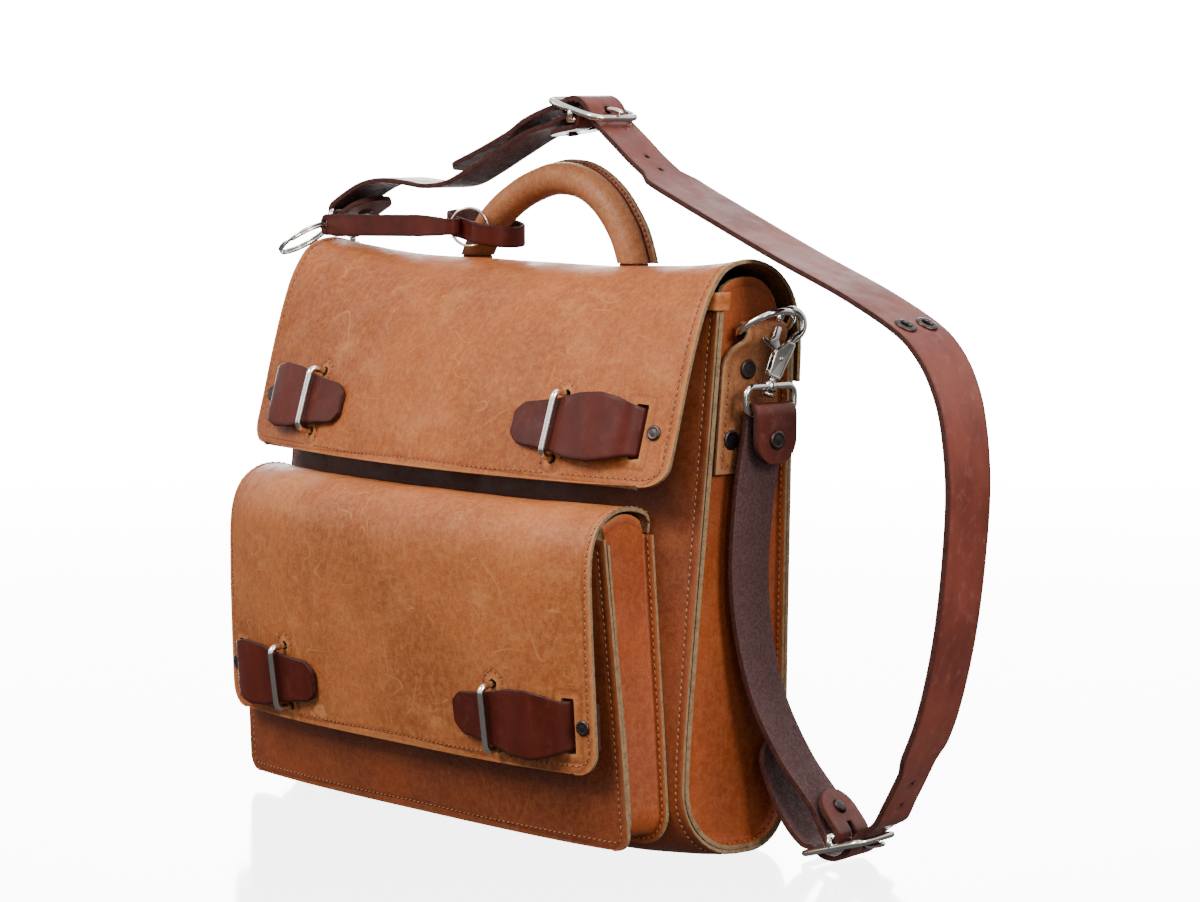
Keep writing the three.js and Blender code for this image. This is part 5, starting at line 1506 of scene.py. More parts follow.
@dataclass
class StrapFixings:
    """Patch, D-ring, rivets and snap hook on one end of the case."""

    side: Side
    bar: Vector
    ring: Vector
    yaw: float
    tilt: float
    d_half: float = 17.5
    d_depth: float = 21.0
    d_place: Vector = field(default_factory=lambda: Vector((190.7, 17, 290.8)))
    swivel_half: float = 18.0
    swivel_height: float = 14.5
    shank: float = 11.0
    hide: Hide | None = field(default=None, init=False)

    def patch(self) -> Grid:
        """Grid of the patch, sewn flat and rolled over the ring's bar at its top."""
        rows = smooth_path([Vector((x, 0, z)) for x, z, _, _ in PATCH], 5)
        grid = []
        for place, point in rows:
            i = min(int(place), len(PATCH) - 2)
            front = lerp(PATCH[i][2], PATCH[i + 1][2], place - i)
            rear = lerp(PATCH[i][3], PATCH[i + 1][3], place - i)
            x = self.side.value * point.x
            grid.append([Vector((x, lerp(front, rear, k / 16), point.z)) for k in range(17)])
        return grid

    def d_ring(self) -> Line:
        """Middle line of the D-ring."""
        tilt = radians(self.tilt)
        out = Vector((self.side.value * cos(tilt), 0, sin(tilt)))
        centre = Vector((self.side.value * self.d_place.x, self.d_place.y, self.d_place.z))
        angles = [lerp(-pi / 2, pi / 2, i / 28) for i in range(29)]
        bow = [centre + out * (self.d_depth * cos(a)) + Y_AXIS * (self.d_half * sin(a)) for a in angles]
        shares = (0.75, 0.5, 0.25, 0, -0.25, -0.5, -0.75)
        return bow + [centre + Y_AXIS * (self.d_half * share) for share in shares]

    def hook_frame(self) -> tuple[Matrix, Vector, Vector]:
        """Matrix of the hook about its gate's pin, the swivel's place and the direction up the hook."""
        turn = radians(self.yaw)
        sideways = Vector((cos(turn), sin(turn), 0))
        neck = self.bar + Z_AXIS * (self.side.value * self.swivel_height)
        up = (self.ring - neck).normalized()
        face = sideways.cross(up).normalized()
        aside = up.cross(face).normalized()
        matrix = Matrix((aside, up, face)).transposed().to_4x4()
        matrix.translation = neck + up * (5 + self.shank)
        return matrix, neck, up

    def build(self, shop: Shop) -> None:
        """Makes the fixings' pieces."""
        label = self.side.label
        self.hide = Hide(self.patch(), LEATHER, flipped=self.side is Side.LEFT, relief=Relief(0.15, 30, 0.0))
        shop.leather(self.hide, shop.pale, f"ring_patch_{label}")
        bm = bmesh.new()
        Smith.wire(bm, self.d_ring(), WIRE, True)
        shop.metal(bm, f"d_ring_{label}", "wire")
        outward = X_AXIS * self.side.value
        for name, y, z in PATCH_RIVETS:
            spot = Vector((self.side.value * 184.95, y, z))
            rivet = Smith.rivet(spot, outward, 5.6, 2 * LEATHER + 1.6)
            shop.metal(rivet, f"patch_rivet_{label}_{name}", "cap", Slot.GUNMETAL)
        self.hook(shop)
        self.swivel(shop)

    def hook(self, shop: Shop) -> None:
        """Makes the snap hook and its gate."""
        label = self.side.label
        matrix, _, _ = self.hook_frame()
        bm = bmesh.new()
        bow = arc(Vector((0.6, 21, 0)), X_AXIS, Y_AXIS, 7.9, -52, 192, 34)
        lead = [Vector((2.4, 7, 0)), Vector((3.3, 10, 0)), Vector((4.6, 13, 0))]
        line = [matrix @ p for p in lead + bow]
        Smith.wire(bm, line, [2.3] * (len(line) - 3) + [2.25, 2.05, 1.4], sides=16)
        cheek = [(-4.4, -11), (3.6, -11), (4.6, -2), (6, 6), (6, 11), (1.6, 11), (-4.6, 3)]
        for way in (1, -1):
            Smith.plate(bm, cheek, 1.4, way * 2.2, matrix, 0.4, True)
        spine = [(2.8, -11), (3.6, -11), (4.6, -2), (6, 6), (6, 11), (3.6, 11), (3.2, 0)]
        block = [(-4.4, -11), (3.6, -11), (3.6, -7), (-4.4, -7)]
        for outline in (spine, block):
            Smith.plate(bm, outline, 3.4, 0, matrix, 0.2)
        pin = [(0, -3.5), (0.9, -3.4), (1.2, -3.1), (1.2, 3.1), (0.9, 3.4), (0, 3.5)]
        Smith.turned(bm, pin, matrix, 18)
        stem = [(0, -22.2), (2.6, -22), (3.6, -21.4), (3.6, -20.4), (3.2, -20)]
        stem += [(1.7, -20), (1.7, -13.6), (2, -13.4), (2, -11), (0, -11)]
        upright = matrix @ Matrix.Rotation(-pi / 2, 4, "X")
        Smith.turned(bm, stem, upright, 24)
        shop.metal(bm, f"hook_{label}", "cast")
        gate = bmesh.new()
        arm = [
            (-2.2, -2.4), (2, -2.2), (2.2, 2), (-1.4, 5.6), (-4.2, 9.6), (-4.6, 16.8), (-8.2, 16.8),
            (-8.4, 10), (-9.6, 7.6), (-13.6, 8.2), (-14, 6.2), (-9.6, 4.8), (-5.4, 3.4),
        ]
        Smith.plate(gate, arm, 2.4, 0, matrix, 0.45)
        body = Body.LEFT_GATE if self.side is Side.LEFT else Body.RIGHT_GATE
        shop.metal(gate, f"gate_{label}", "cast", body=body)

    def swivel(self, shop: Shop) -> None:
        """Makes the hook's strap loop."""
        label = self.side.label
        _, neck, up = self.hook_frame()
        drop = self.bar - neck
        rise, height, corner = -drop.normalized(), drop.length, 5.0
        points = []
        for way, low, start in ((1, 0, 0), (-1, 0, 90), (-1, 1, 180), (1, 1, 270)):
            lift = corner - height if low else -corner
            centre = neck + Y_AXIS * (way * (self.swivel_half - corner)) + rise * lift
            points += arc(centre, Y_AXIS, rise, corner, start, start + 90, 8)
        bm = bmesh.new()
        Smith.wire(bm, points, WIRE, True)
        collar = [(2.3, -2.2), (3.7, -2.2), (4.2, -1.7), (4.2, 1.7), (3.7, 2.2), (2.3, 2.2), (2.3, -2.2)]
        Smith.turned(bm, collar, turned_to(up, neck), 24)
        shop.metal(bm, f"swivel_{label}", "wire")

    def dress(self, shop: Shop) -> None:
        """Sews the patch."""
        seams = Seams()
        out = X_AXIS * self.side.value
        front = [(lerp(-9.8, -3.3, k / 20), lerp(217.5, 275, k / 20)) for k in range(20, -1, -1)]
        lower = [(lerp(-9, 28, k / 20), 217.5) for k in range(21)]
        seams.sew([(Vector((self.side.value * 186.9, y, z)), out) for y, z in front + lower], self.hide)
        seams.finish(shop, f"patch_{self.side.label}_seams")


@dataclass
class Handle:
    """Rolled handle with a sewn fin, on two stubs."""

    case: Case
    y: float = 26.0
    radius: float = 9.5
    fin_angle: float = 42.0
    foot: float = 324.4
    roll_edge: float = 9.0
    stub_edge: float = 1.5
    route: tuple[tuple[float, float], ...] = (
        (-73, 319), (-66.5, 330), (-58.5, 341), (-47, 351), (-24, 363.5), (4, 371.5), (31, 369), (52, 357),
        (66, 341), (71.5, 330), (75.5, 319),
    )

    def line(self) -> list[tuple[Vector, Vector]]:
        """Middle line of the roll with the direction away from the hand's opening."""
        points = [p for _, p in smooth_path([Vector((x, self.y, z)) for x, z in self.route], 9)]
        return [(p, Y_AXIS.cross(t).normalized() * -1) for p, t in zip(points, directions(points))]

    def section(self, step: int, half: int) -> tuple[float, float]:
        """Degrees from the fin and distance from the middle line, at a step of half a turn's steps."""
        if step < len(FIN):
            return FIN[step][0], self.radius + FIN[step][1]
        last = len(FIN) - 1
        return lerp(FIN[last][0], 180.0, (step - last) / (half - last)), self.radius

    def build(self, shop: Shop) -> None:
        """Makes the handle's pieces."""
        bm = bmesh.new()
        half = 30
        line = self.line()
        Smith.wire(bm, [p for p, _ in line], self.radius, sides=2 * half)
        layer = bm.verts.layers.float.new("edge_mm")
        phase, steps = None, {}
        for vert in bm.verts:
            point, out = min(line, key=lambda entry: (entry[0] - vert.co).length_squared)
            off = vert.co - point
            turn = (degrees(atan2(off.dot(Y_AXIS), off.dot(out))) - self.fin_angle) * half / 180
            phase = turn % 1 if phase is None else phase
            step = (round(turn - phase) + half) % (2 * half) - half
            away, reach = self.section(abs(step), half)
            angle = radians(self.fin_angle + copysign(away, step))
            wave = 0.25 * noise.noise(vert.co / 14)
            vert.co = point + (out * cos(angle) + Y_AXIS * sin(angle)) * (reach + wave)
            vert[layer] = self.roll_edge
            steps[vert] = abs(step)
        for face in bm.faces:
            inner, outer = min(steps[v] for v in face.verts), max(steps[v] for v in face.verts)
            face.material_index = FIN_EDGE_AND_SHADE.get(outer, 0) if outer - inner < 2 else 0
        everything = [*bm.verts, *bm.edges, *bm.faces]
        floor = {"plane_co": (0, 0, self.foot), "plane_no": (0, 0, -1), "clear_outer": True}
        cut = bmesh.ops.bisect_plane(bm, geom=everything, **floor)
        rim = [e for e in cut["geom_cut"] if isinstance(e, Edge)]
        bmesh.ops.holes_fill(bm, edges=rim, sides=0)
        bmesh.ops.recalc_face_normals(bm, faces=bm.faces)
        for face in bm.faces:
            if abs(face.normal.z) > 0.97 and face.calc_center_median().z < self.foot + 0.5:
                face.material_index = 1
        # Looks of the roll: pale leather (partly painted light on top), raw edge at the fin's tip, the darker
        # leather on its flank (partly painted shade) and painted crease shade in its valley.
        pale, darker_shaded, dark = shop.pale, shop.darker_shaded, shop.dark
        looks = (pale.grain, pale.edge, darker_shaded.grain, dark.edge)
        shop.show(bm, "handle_roll", looks, ("handle_grip",))
        for name, x, long in (("left", -70.0, 10.0), ("right", 73.5, 9.0)):
            self.stub(shop, name, x, long)

    def stub(self, shop: Shop, name: str, x: float, long: float) -> None:
        """Makes the short post that carries an end of the handle."""
        bm = bmesh.new()
        bmesh.ops.create_circle(bm, segments=40, radius=1.0, cap_ends=True)
        made = bmesh.ops.extrude_face_region(bm, geom=bm.faces[:])["geom"]
        upper = {v for v in made if isinstance(v, Vert)}
        for vert in bm.verts:
            px, py = x + long * vert.co.x, self.y + 8 * vert.co.y
            low = self.case.flap_top(px, py) + GAP + 0.4
            vert.co = (px, py, self.foot - GAP if vert in upper else low)
        bmesh.ops.recalc_face_normals(bm, faces=bm.faces)
        level = [e for e in bm.edges if len(e.link_faces) == 2 and e.calc_face_angle() > 0.9]
        Smith.rounded(bm, level, 0.5, 2)
        layer = bm.verts.layers.float.new("edge_mm")
        for vert in bm.verts:
            vert[layer] = self.stub_edge
        # The stub's darker leather is painted shade: it reads as the shaded gap under the handle's end.
        darker_shaded = shop.darker_shaded
        shop.show(bm, f"handle_stub_{name}_leather", (darker_shaded.grain, darker_shaded.edge), (f"handle_stub_{name}",))

    def dress(self, shop: Shop) -> None:
        """Sews the fin."""
        seams = Seams(3.4, 2.4)
        angle = radians(self.fin_angle)
        for lean in (-1, 1):
            path = []
            for point, out in self.line():
                if point.z < self.foot + 5:
                    continue
                ray = out * cos(angle) + Y_AXIS * sin(angle)
                over = out * sin(angle) - Y_AXIS * cos(angle)
                path.append((point + ray * (self.radius + 1.4) + over * (lean * 2.1), over * lean))
            seams.sew(path)
        seams.finish(shop, "handle_seams")


@dataclass(frozen=True)
class Station:
    """One stop of a strap: its middle, its half width and the direction across it."""

    point: Vector
    half: float
    across: Vector


def strap_stations(route: Route, across: Skin, bends: int, step: float) -> list[Station]:
    """Stations at even distances along a strap.

    Args:
        route: Points that the strap passes through, with its half widths.
        across: Directions across its start and its end.
        bends: Number of stops of the smooth curve from one point to the next.
        step: Distance between stations.

    Returns:
        The stations.
    """
    last = len(route) - 1
    stations = []
    for place, point in smooth_path([p for p, _ in route], bends):
        i = min(int(place), last - 1)
        turned = smoothstep(0.38, 0.66, place / last)
        half = lerp(route[i][1], route[i + 1][1], place - i)
        stations.append(Station(point, half, across[0].lerp(across[1], turned).normalized()))
    found, spare = [stations[0]], step
    for a, b in zip(stations, stations[1:]):
        span = (b.point - a.point).length
        while spare <= span:
            t = spare / span
            over = a.across.lerp(b.across, t).normalized()
            found.append(Station(a.point.lerp(b.point, t), lerp(a.half, b.half, t), over))
            spare += step
        spare -= span
    return found + [stations[-1]]


def strap_grid(stations: Sequence[Station], columns: int, round_start: float, round_end: float) -> Grid:
    """Grid of a strap.

    Args:
        stations: Stops along the strap.
        columns: Number of steps across.
        round_start: Radius of the strap's first end, or 0 for a square one.
        round_end: Radius of its last end.

    Returns:
        The grid.
    """
    travel = directions([s.point for s in stations])
    gone = [0.0]
    for a, b in zip(stations, stations[1:]):
        gone.append(gone[-1] + (b.point - a.point).length)
    grid = []
    for station, way, far in zip(stations, travel, gone):
        over = (station.across - way * station.across.dot(way)).normalized()
        half = station.half
        for radius, left in ((round_start, far), (round_end, gone[-1] - far)):
            if left < radius:
                half = min(half, station.half - radius + sqrt(max(radius**2 - (radius - left) ** 2, 0.6)))
        grid.append([station.point + over * (half * (2 * k / columns - 1)) for k in range(columns + 1)])
    return grid


@dataclass
class KeyStrap:
    """Band round the handle's foot, a split ring, a flat strap and a ring for keys."""

    left: float = -83.5
    right: float = -32.0
    front: float = 6.0
    rear: float = 39.0
    half: float = 6.2
    z: float = 340.6
    fall: float = -0.18
    inner: Vector = field(default_factory=lambda: Vector((-53, 6, 342)))
    outer: Vector = field(default_factory=lambda: Vector((-199.3, -8.6, 331)))

    def band(self) -> Grid:
        """Closed grid of the band."""
        radius, middle = (self.rear - self.front) / 2, (self.front + self.rear) / 2
        path = arc(Vector((self.right - radius, middle, 0)), X_AXIS, Y_AXIS, radius, -90, 90, 24)
        path += arc(Vector((self.left + radius, middle, 0)), X_AXIS, Y_AXIS, radius, 90, 270, 24)
        path.append(path[0].copy())
        tilt = (self.left + self.right) / 2
        grid = []
        for p in path:
            z = self.z + self.fall * (p.x - tilt)
            grid.append([Vector((p.x, p.y, z + self.half * (2 * k / 8 - 1))) for k in range(9)])
        return grid

    def strap(self) -> Grid:
        """Grid of the flat strap, folded round the inner ring."""
        held = self.inner + Vector((-0.8, -0.6, 0)) * 11.3
        route = [(held + Vector((-11, 1.4, 0)), 4.8), (held + Vector((-5, 3.2, 0)), 4.8)]
        route += [(p, 4.8) for p in arc(held, Y_AXIS, X_AXIS, 4.0, 0, 180, 6)]
        route.append((held + Vector((-8, -3.6, 0)), 5.6))
        rest = [(-88, -4.6, 342), (-112, -4, 341.4), (-140, -2.8, 340.6)]
        rest += [(-165, -1.4, 340), (-188, -0.1, 339.6), (-192, 0.1, 339.6)]
        route += [(Vector(p), 6.6) for p in rest]
        return strap_grid(strap_stations(route, (Z_AXIS, Z_AXIS), 8, 1.6), 8, 0.0, 6.0)

    def split_ring(self, centre: Vector, normal: Vector, radius: float, thick: float) -> Mesh:
        """Ring of two close turns of wire."""
        place = turned_to(normal.normalized(), centre)
        line = []
        for i in range(85):
            angle = 4 * pi * i / 84 * 0.985
            rise = lerp(-0.58, 0.58, smoothstep(0.42, 0.58, i / 84)) * thick
            line.append(place @ Vector((radius * cos(angle), radius * sin(angle), rise)))
        bm = bmesh.new()
        ends = [0.4, 0.6] + [0.64] * 81 + [0.6, 0.4]
        Smith.wire(bm, line, [thick * e for e in ends], sides=10)
        return bm

    def build(self, shop: Shop) -> None:
        """Makes the key strap's pieces."""
        dark = shop.dark
        band = Hide(self.band(), TONGUE_LEATHER, flipped=True, joined=True)
        shop.leather(band, dark, "key_band")
        hole = Hole(Vector((-187.5, -0.1, 339.6)), X_AXIS, Z_AXIS, 2.6, 2.6)
        strap = Hide(self.strap(), TONGUE_LEATHER, holes=[hole], relief=Relief(0.15, 20, 0.0))
        shop.leather(strap, dark, "key_strap")
        inner = self.split_ring(self.inner, Vector((0.6, -0.8, 0)), 11.3, 1.3)
        shop.metal(inner, "key_ring_inner", "wire")
        outer = self.split_ring(self.outer, Vector((-0.485, -0.22, 0.846)), 16.6, 1.5)
        shop.metal(outer, "key_ring_outer", "wire")


@dataclass
class Buckle:
    """Centre-bar buckle with its prong, in its own directions."""

    name: str
    at: Vector
    slope: float
    yaw: float
    outer: int
    length: float = 23.0
    width: float = 19.5
    drop: float = 6.0
    travel: Vector = field(init=False)
    across: Vector = field(init=False)
    out: Vector = field(init=False)

    def __post_init__(self) -> None:
        """Works out the buckle's directions: along the strap, across it and out of its loop."""
        tilt, turn = radians(self.slope), radians(self.yaw)
        self.across = Vector((-sin(turn), cos(turn), 0))
        level = cos(tilt)
        self.travel = Vector((level * cos(turn), level * sin(turn), sin(tilt)))
        self.out = self.travel.cross(self.across) * self.outer

    def place(self, t: float, o: float, w: float = 0.0) -> Vector:
        """Point at distances along, out of and across the buckle."""
        return self.at + self.travel * t + self.out * o + self.across * w

    def build(self, shop: Shop) -> None:
        """Makes the buckle and its prong."""
        corner, rail, end = 7.0, self.width - WIRE, self.length - WIRE
        outline = []
        for t, w, start in ((1, 1, 0), (-1, 1, 90), (-1, -1, 180), (1, -1, 270)):
            centre = self.place(t * (end - corner), 0, w * (rail - corner))
            outline += arc(centre, self.travel, self.across, corner, start, start + 90, 8)
        bm = bmesh.new()
        Smith.wire(bm, outline, WIRE, True)
        for way in (1, -1):
            Smith.wire(bm, [self.place(0, 0, way * rail), self.place(0, -self.drop, way * rail)], WIRE)
        Smith.wire(bm, [self.place(0, -self.drop, -rail - 1), self.place(0, -self.drop, rail + 1)], WIRE)
        shop.metal(bm, f"buckle_{self.name}", "wire")
        rest = WIRE + 1.5 + GAP + 0.1
        marks = [(-1, -2.2), (4, -1.4), (9, 0.8), (14, 3.4), (end, rest), (self.length + 1, rest - 0.6)]
        line = [p for _, p in smooth_path([self.place(t, o) for t, o in marks], 5)]
        prong = bmesh.new()
        Smith.wire(prong, line, [1.5] * (len(line) - 3) + [1.45, 1.25, 0.7], sides=12)
        shop.metal(prong, f"prong_{self.name}", "wire")


@dataclass
class ShoulderStrap:
    """Three lengths of strap, two buckles, two eyelets and four rivets."""

    top: Buckle
    bottom: Buckle
    left_bar: Vector
    right_bar: Vector
    tab: float = 29.0
    step: float = 2.4

    @staticmethod
    def path(*places: Triple) -> Line:
        """Points of a path."""
        return [Vector(p) for p in places]

    def fold(self, centre: Vector, run: Vector, outside: Vector) -> Line:
        """Middle line round a bar, from the run's side to the tab's side."""
        return arc(centre, outside, -run, WIRE + GAP + STRAP_LEATHER / 2 + 0.45, 0, 180, 6)

    def tab_end(self, start: Vector, run: Vector, length: float) -> Line:
        """Straight end of a folded strap."""
        return [start + run * (length / 2), start + run * length]

    def stations(self, route: Route, first: Vector, last: Vector) -> list[Station]:
        """Even stops of a length of strap, with the directions across its ends."""
        return strap_stations(route, (first, last), 12, self.step)

    def left_route(self) -> Line:
        """Route of the length from the top buckle to the left hook."""
        run, out = TOP_FOLD
        fold = self.fold(self.top.place(0, -self.top.drop), run, out)[::-1]
        hook = self.fold(self.left_bar, *LEFT_FOLD)
        middle = self.path(
            (16, 25, 404), (-6, 25, 398.5), (-37, 25, 385.8), (-63, 25, 374.6), (-83, 25, 367.3),
            (-103, 25, 365.2), (-125, 25, 367), (-146, 25, 367.8), (-164, 26, 365.4), (-181, 28, 360.3),
        )
        tail = self.tab_end(hook[-1], Vector((0.925, -0.06, 0.385)).normalized(), self.tab + 3)
        return self.tab_end(fold[0], run, self.tab)[::-1] + fold + middle + hook + tail

    def bottom_directions(self) -> tuple[Vector, Vector]:
        """Directions of the run at the bottom buckle and out of its fold."""
        run = Vector((-0.604, -0.14, 0.783)).normalized()
        return run, -self.bottom.across.cross(run).normalized()

    def right_route(self) -> Line:
        """Route of the length from the bottom buckle to the right hook."""
        run, out = self.bottom_directions()
        fold = self.fold(self.bottom.place(0, -self.bottom.drop), run, out)[::-1]
        hook = self.fold(self.right_bar, -Z_AXIS, -X_AXIS)
        middle = self.path(
            (229, 32, 29.5), (213, 24, 54), (199.5, 15, 88), (194, 9.5, 122), (193.4, 6, 157),
            (194.6, 9, 205), (196, 14.8, 238),
        )
        tail = self.tab_end(hook[-1], -Z_AXIS, self.tab)
        return self.tab_end(fold[0], run, self.tab - 3)[::-1] + fold + middle + hook + tail

    def shoulder_route(self) -> tuple[Route, int]:
        """Route of the long length with its half widths, and the row of its eyelets."""
        passes = ((20, -4.9), (14, -2.2), (8, 3.6), (0, 6.2), (-8, 3.6), (-14, -2.2), (-20, -4.9))
        tail_top = self.path((-84, 25, 376), (-53, 25, 386.4), (-20, 24, 398.7), (-5.6, 23, 405.5))
        tail_bottom = self.path((209, 28, 23), (199, 25, 45), (195, 22, 64))
        shoulder = self.path(
            (73, 25, 393), (84, 25.5, 385), (97, 26, 376.8), (106, 26.5, 372), (151, 27, 354.5),
            (211, 28, 332), (264, 28.5, 313.5), (299, 29, 298.2), (310.5, 29.2, 290.8), (321.5, 29.5, 279),
            (328.8, 29.8, 266), (333.5, 30, 252), (338, 30, 219), (335, 31, 180), (327.5, 31.5, 133),
            (315.5, 32, 92), (304.5, 33, 70), (298, 34, 60), (283, 36.5, 39), (272.5, 38.5, 26),
        )
        lead = tail_top + [self.top.place(t, o) for t, o in passes[::-1]]
        rest = [self.bottom.place(t, o) for t, o in passes] + tail_bottom
        halves = [NARROW] * 3 + [WIDE] * (len(shoulder) - 6) + [NARROW] * 3
        halves = [NARROW] * len(lead) + halves + [NARROW] * len(rest)
        return list(zip(lead + shoulder + rest, halves)), len(lead) + 7

    def nearest(self, stations: Sequence[Station], place: Vector) -> Skin:
        """Directions across and along a strap at the station nearest to a place."""
        i = min(range(len(stations)), key=lambda k: (stations[k].point - place).length_squared)
        return stations[i].across, directions([s.point for s in stations])[i]

    def hole_at(self, stations: Sequence[Station], place: Vector, radius: float) -> Hole:
        """Round hole through a strap at the station nearest to a place."""
        across, way = self.nearest(stations, place)
        return Hole(place, (across - way * across.dot(way)).normalized(), way, radius, radius)

    def build(self, shop: Shop) -> None:
        """Makes the strap's pieces."""
        self.top.build(shop)
        self.bottom.build(shop)
        lengths = ((Side.LEFT, self.top, self.left_route()), (Side.RIGHT, self.bottom, self.right_route()))
        for side, buckle, route in lengths:
            stations = self.stations([(p, NARROW) for p in route], buckle.across, Y_AXIS)
            slot = Hole(buckle.place(3, 3 - buckle.drop), buckle.across, buckle.travel, 2.2, 5.5, False)
            grid = strap_grid(stations, 14, NARROW, NARROW)
            hide = Hide(grid, STRAP_LEATHER, side is Side.RIGHT, holes=[slot], relief=Relief(0.3, 40, 0.0))
            shop.leather(hide, shop.strap, f"strap_{side.label}", 0.7)
        self.shoulder(shop)
        self.rivets(shop)

    def shoulder(self, shop: Shop) -> None:
        """Makes the long length of strap and its eyelets."""
        route, row = self.shoulder_route()
        stations = self.stations(route, self.top.across, self.bottom.across)
        spot = route[row][0]
        across, way = self.nearest(stations, spot)
        outside = way.cross(across).normalized()
        eyelets = [spot + across * w for w in (-9.0, 9.0)]
        holes = [self.hole_at(stations, p, 4.2) for p in eyelets]
        for buckle in (self.top, self.bottom):
            holes.append(self.hole_at(stations, buckle.place(10.8, 1.4), 2.6))
        for place in ((84.5, 25.5, 384.7), (96, 26, 377.4), (291, 35.2, 50), (281, 36.8, 36.5)):
            holes.append(self.hole_at(stations, Vector(place), 1.9))
        grid = strap_grid(stations, 20, NARROW, NARROW)
        hide = Hide(grid, STRAP_LEATHER, True, holes=holes, relief=Relief(0.35, 45, 0.0))
        shop.leather(hide, shop.strap, "strap_shoulder", 0.7)
        for name, point in zip(("front", "rear"), eyelets):
            self.eyelet(shop, name, point, outside)

    def eyelet(self, shop: Shop, name: str, point: Vector, outside: Vector) -> None:
        """Makes an eyelet, its wide flange on the outside."""
        outer = STRAP_LEATHER / 2 + GAP
        inner = outer + 1
        profile = [
            (3.3, -inner - 0.7), (4.2, -inner - 0.9), (5.2, -inner - 0.4), (5.0, -inner), (4.1, -inner),
            (4.1, outer), (6.3, outer), (6.4, outer + 0.3), (5.6, outer + 0.85), (4.6, outer + 1.1),
            (3.7, outer + 0.9), (3.3, outer + 0.3), (3.3, -inner - 0.7),
        ]
        bm = bmesh.new()
        Smith.turned(bm, profile, turned_to(outside, point), 32)
        shop.metal(bm, f"eyelet_{name}", "ring", Slot.GUNMETAL)

    def rivets(self, shop: Shop) -> None:
        """Makes the rivets through the folded ends."""
        stack = 2 * (WIRE + GAP + STRAP_LEATHER) + 1.4
        rows = (
            ("top", self.top.place(0, -self.top.drop), TOP_FOLD, 17.4),
            ("left", self.left_bar, LEFT_FOLD, 11.5),
            ("bottom", self.bottom.place(0, -self.bottom.drop), self.bottom_directions(), 14.0),
            ("right", self.right_bar, (-Z_AXIS, X_AXIS), 15.0),
        )
        for name, centre, (way, outside), reach in rows:
            rivet = Smith.rivet(centre + way * reach, outside, 5.4, stack)
            shop.metal(rivet, f"strap_rivet_{name}", "cap", Slot.GUNMETAL)


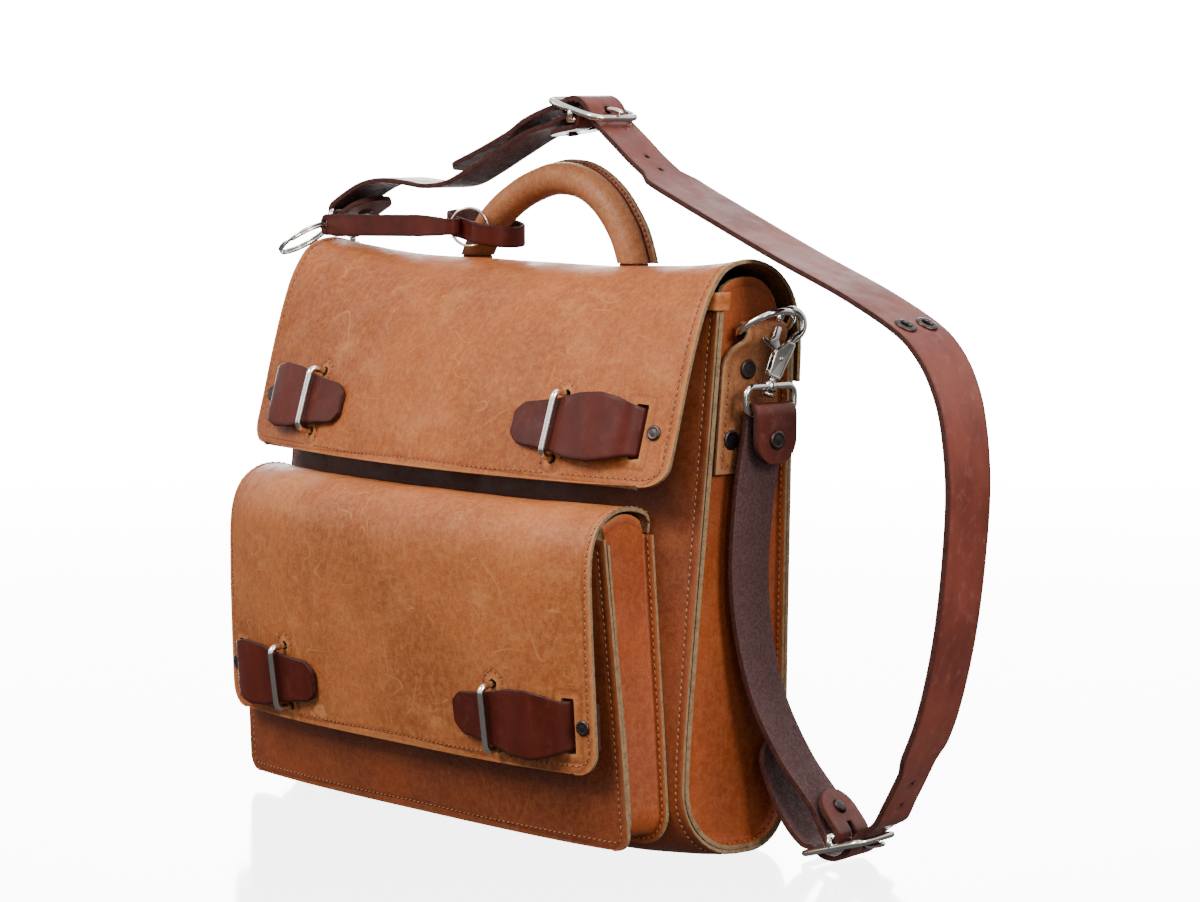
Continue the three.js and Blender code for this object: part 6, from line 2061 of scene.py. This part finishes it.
@dataclass
class Studio:
    """Pale floor, soft lights and the camera at the photograph's angle."""

    camera_place: Triple = (1.7985, -1.4782, 0.436)
    target: Triple = (0.0738, 0.0, 0.2173)
    lit: Triple = (0.02, -0.02, 0.18)
    lens: float = 119.13
    ambient: float = 0.55
    white: float = 17.0
    glow: float = 8.0
    mirrored: float = 1.0

    def build(self) -> None:
        """Makes the floor, the lights, the air and the camera."""
        self.floor()
        self.light("key", (-0.2, -2.5, 2.5), 1.3, 120.0)
        self.light("top", (0.3, 0.3, 3.0), 1.6, 26.0)
        self.light("fill", (3.0, 0.1, 1.6), 1.3, 102.0)
        self.light("left_strip", (-1.9, -1.8, 0.8), 0.16, 9.0, 1.7)
        self.light("right_strip", (2.2, -1.1, 0.8), 0.16, 7.0, 1.7)
        self.air()
        lens = bpy.data.cameras.new("camera")
        lens.lens, lens.sensor_width = self.lens, 36.0
        lens.clip_start, lens.clip_end = 0.05, 100.0
        bpy.context.scene.camera = aimed("camera", lens, self.camera_place, self.target)

    def air(self) -> None:
        """Makes the white air, which lights the case weakly and more from above."""
        world = bpy.data.worlds.new("studio_air")
        g = Nodes(world)
        rays, place = g.node("LightPath").outputs, g.node("TexCoord").outputs["Generated"]
        height = g.node("SeparateXYZ", {0: place}).outputs["Z"]
        behind = g.node("VectorMath", {0: place, 1: (-0.76, 0.65, 0.0)}, operation="DOT_PRODUCT")
        rise = g.between(height, -0.2, 1.0, 0.16, self.ambient, "LINEAR")
        wall = g.between(behind.outputs["Value"], 0.93, 0.97, 0.0, self.white, "LINEAR")
        above = g.between(height, -0.02, 0.25, 0.0, self.mirrored, "LINEAR")
        seen = g.maths("MULTIPLY_ADD", rays["Is Camera Ray"], self.white, rise)
        mirrored = g.maths("MULTIPLY", rays["Is Glossy Ray"], g.maths("ADD", wall, above))
        background = g.tree.nodes["Background"].inputs
        g.feed(background["Color"], (1, 1, 1, 1))
        g.feed(background["Strength"], g.maths("ADD", seen, mirrored))
        bpy.context.scene.world = world

    def floor(self) -> None:
        """Makes the glossy white floor, which fades out far from the object."""
        bm = bmesh.new()
        bmesh.ops.create_circle(bm, cap_ends=True, segments=96, radius=4.0)
        mesh = bpy.data.meshes.new("floor")
        bm.to_mesh(mesh)
        bm.free()
        piece = placed("floor", mesh)
        g = Graph("floor_lacquer")
        g.set(Base_Color=tint("000000"), Roughness=0.1, IOR=1.45, Emission_Color=(1, 1, 1, 1))
        kept = g.maths("SUBTRACT", 1.0, g.node("Fresnel", {"IOR": 1.45}).outputs[0])
        g.set(Emission_Strength=g.maths("MULTIPLY", kept, self.glow))
        away = g.node("VectorMath", {0: g.place}, operation="LENGTH").outputs["Value"]
        clear = g.node("BsdfTransparent").outputs[0]
        mixed = g.node("MixShader", {0: g.between(away, 0.7, 2.6), 1: g.shader.outputs[0], 2: clear})
        g.feed(g.tree.nodes["Material Output"].inputs["Surface"], mixed.outputs[0])
        mesh.materials.append(g.material)
        piece.visible_diffuse = piece.visible_glossy = False

    def light(self, name: str, place: Triple, size: float, power: float, tall: float = 0.0) -> None:
        """Adds a soft light that faces the case, square or taller."""
        lamp = bpy.data.lights.new(name, "AREA")
        lamp.shape = "RECTANGLE"
        lamp.size, lamp.size_y, lamp.energy = size, tall or size, power
        aimed(name, lamp, place, self.lit)


def main() -> None:
    """Builds the studio and every sub-assembly."""
    logging.basicConfig(level=logging.INFO, format="%(name)s: %(message)s")
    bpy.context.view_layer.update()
    Studio().build()
    shop = Shop()
    case = Case()
    pocket = FrontPocket(case)
    main_set = Closures("main", case.flap, case.flap_drop, case.front_y, x=112, z=237.5, rivet=177, slit=166)
    pocket_set = Closures("pocket", pocket.flap, pocket.flap_drop, pocket.y, x=98, z=77, rivet=162, slit=152)
    case.build(shop, main_set.holes())
    case.dress(shop, main_set.foot_places())
    pocket.build(shop, pocket_set.holes())
    pocket.dress(shop, pocket_set.foot_places())
    main_set.build(shop)
    pocket_set.build(shop)
    right_bar, left_bar = Vector((200, 15.5, 247)), Vector((-200, 30, 347.6))
    for fixings in (
        StrapFixings(Side.RIGHT, right_bar, Vector((200.6, 31, 297.9)), yaw=78, tilt=36),
        StrapFixings(Side.LEFT, left_bar, Vector((-202.4, 31, 293.4)), yaw=102, tilt=12),
    ):
        fixings.build(shop)
        fixings.dress(shop)
    handle = Handle(case)
    handle.build(shop)
    handle.dress(shop)
    KeyStrap().build(shop)
    top = Buckle("top", Vector((39, 24.4, 412.8)), slope=-14.5, yaw=5, outer=1)
    bottom = Buckle("bottom", Vector((242.7, 36, 9.2)), slope=15.4, yaw=13, outer=-1)
    ShoulderStrap(top, bottom, left_bar, right_bar).build(shop)


if __name__ == "__main__":
    main()
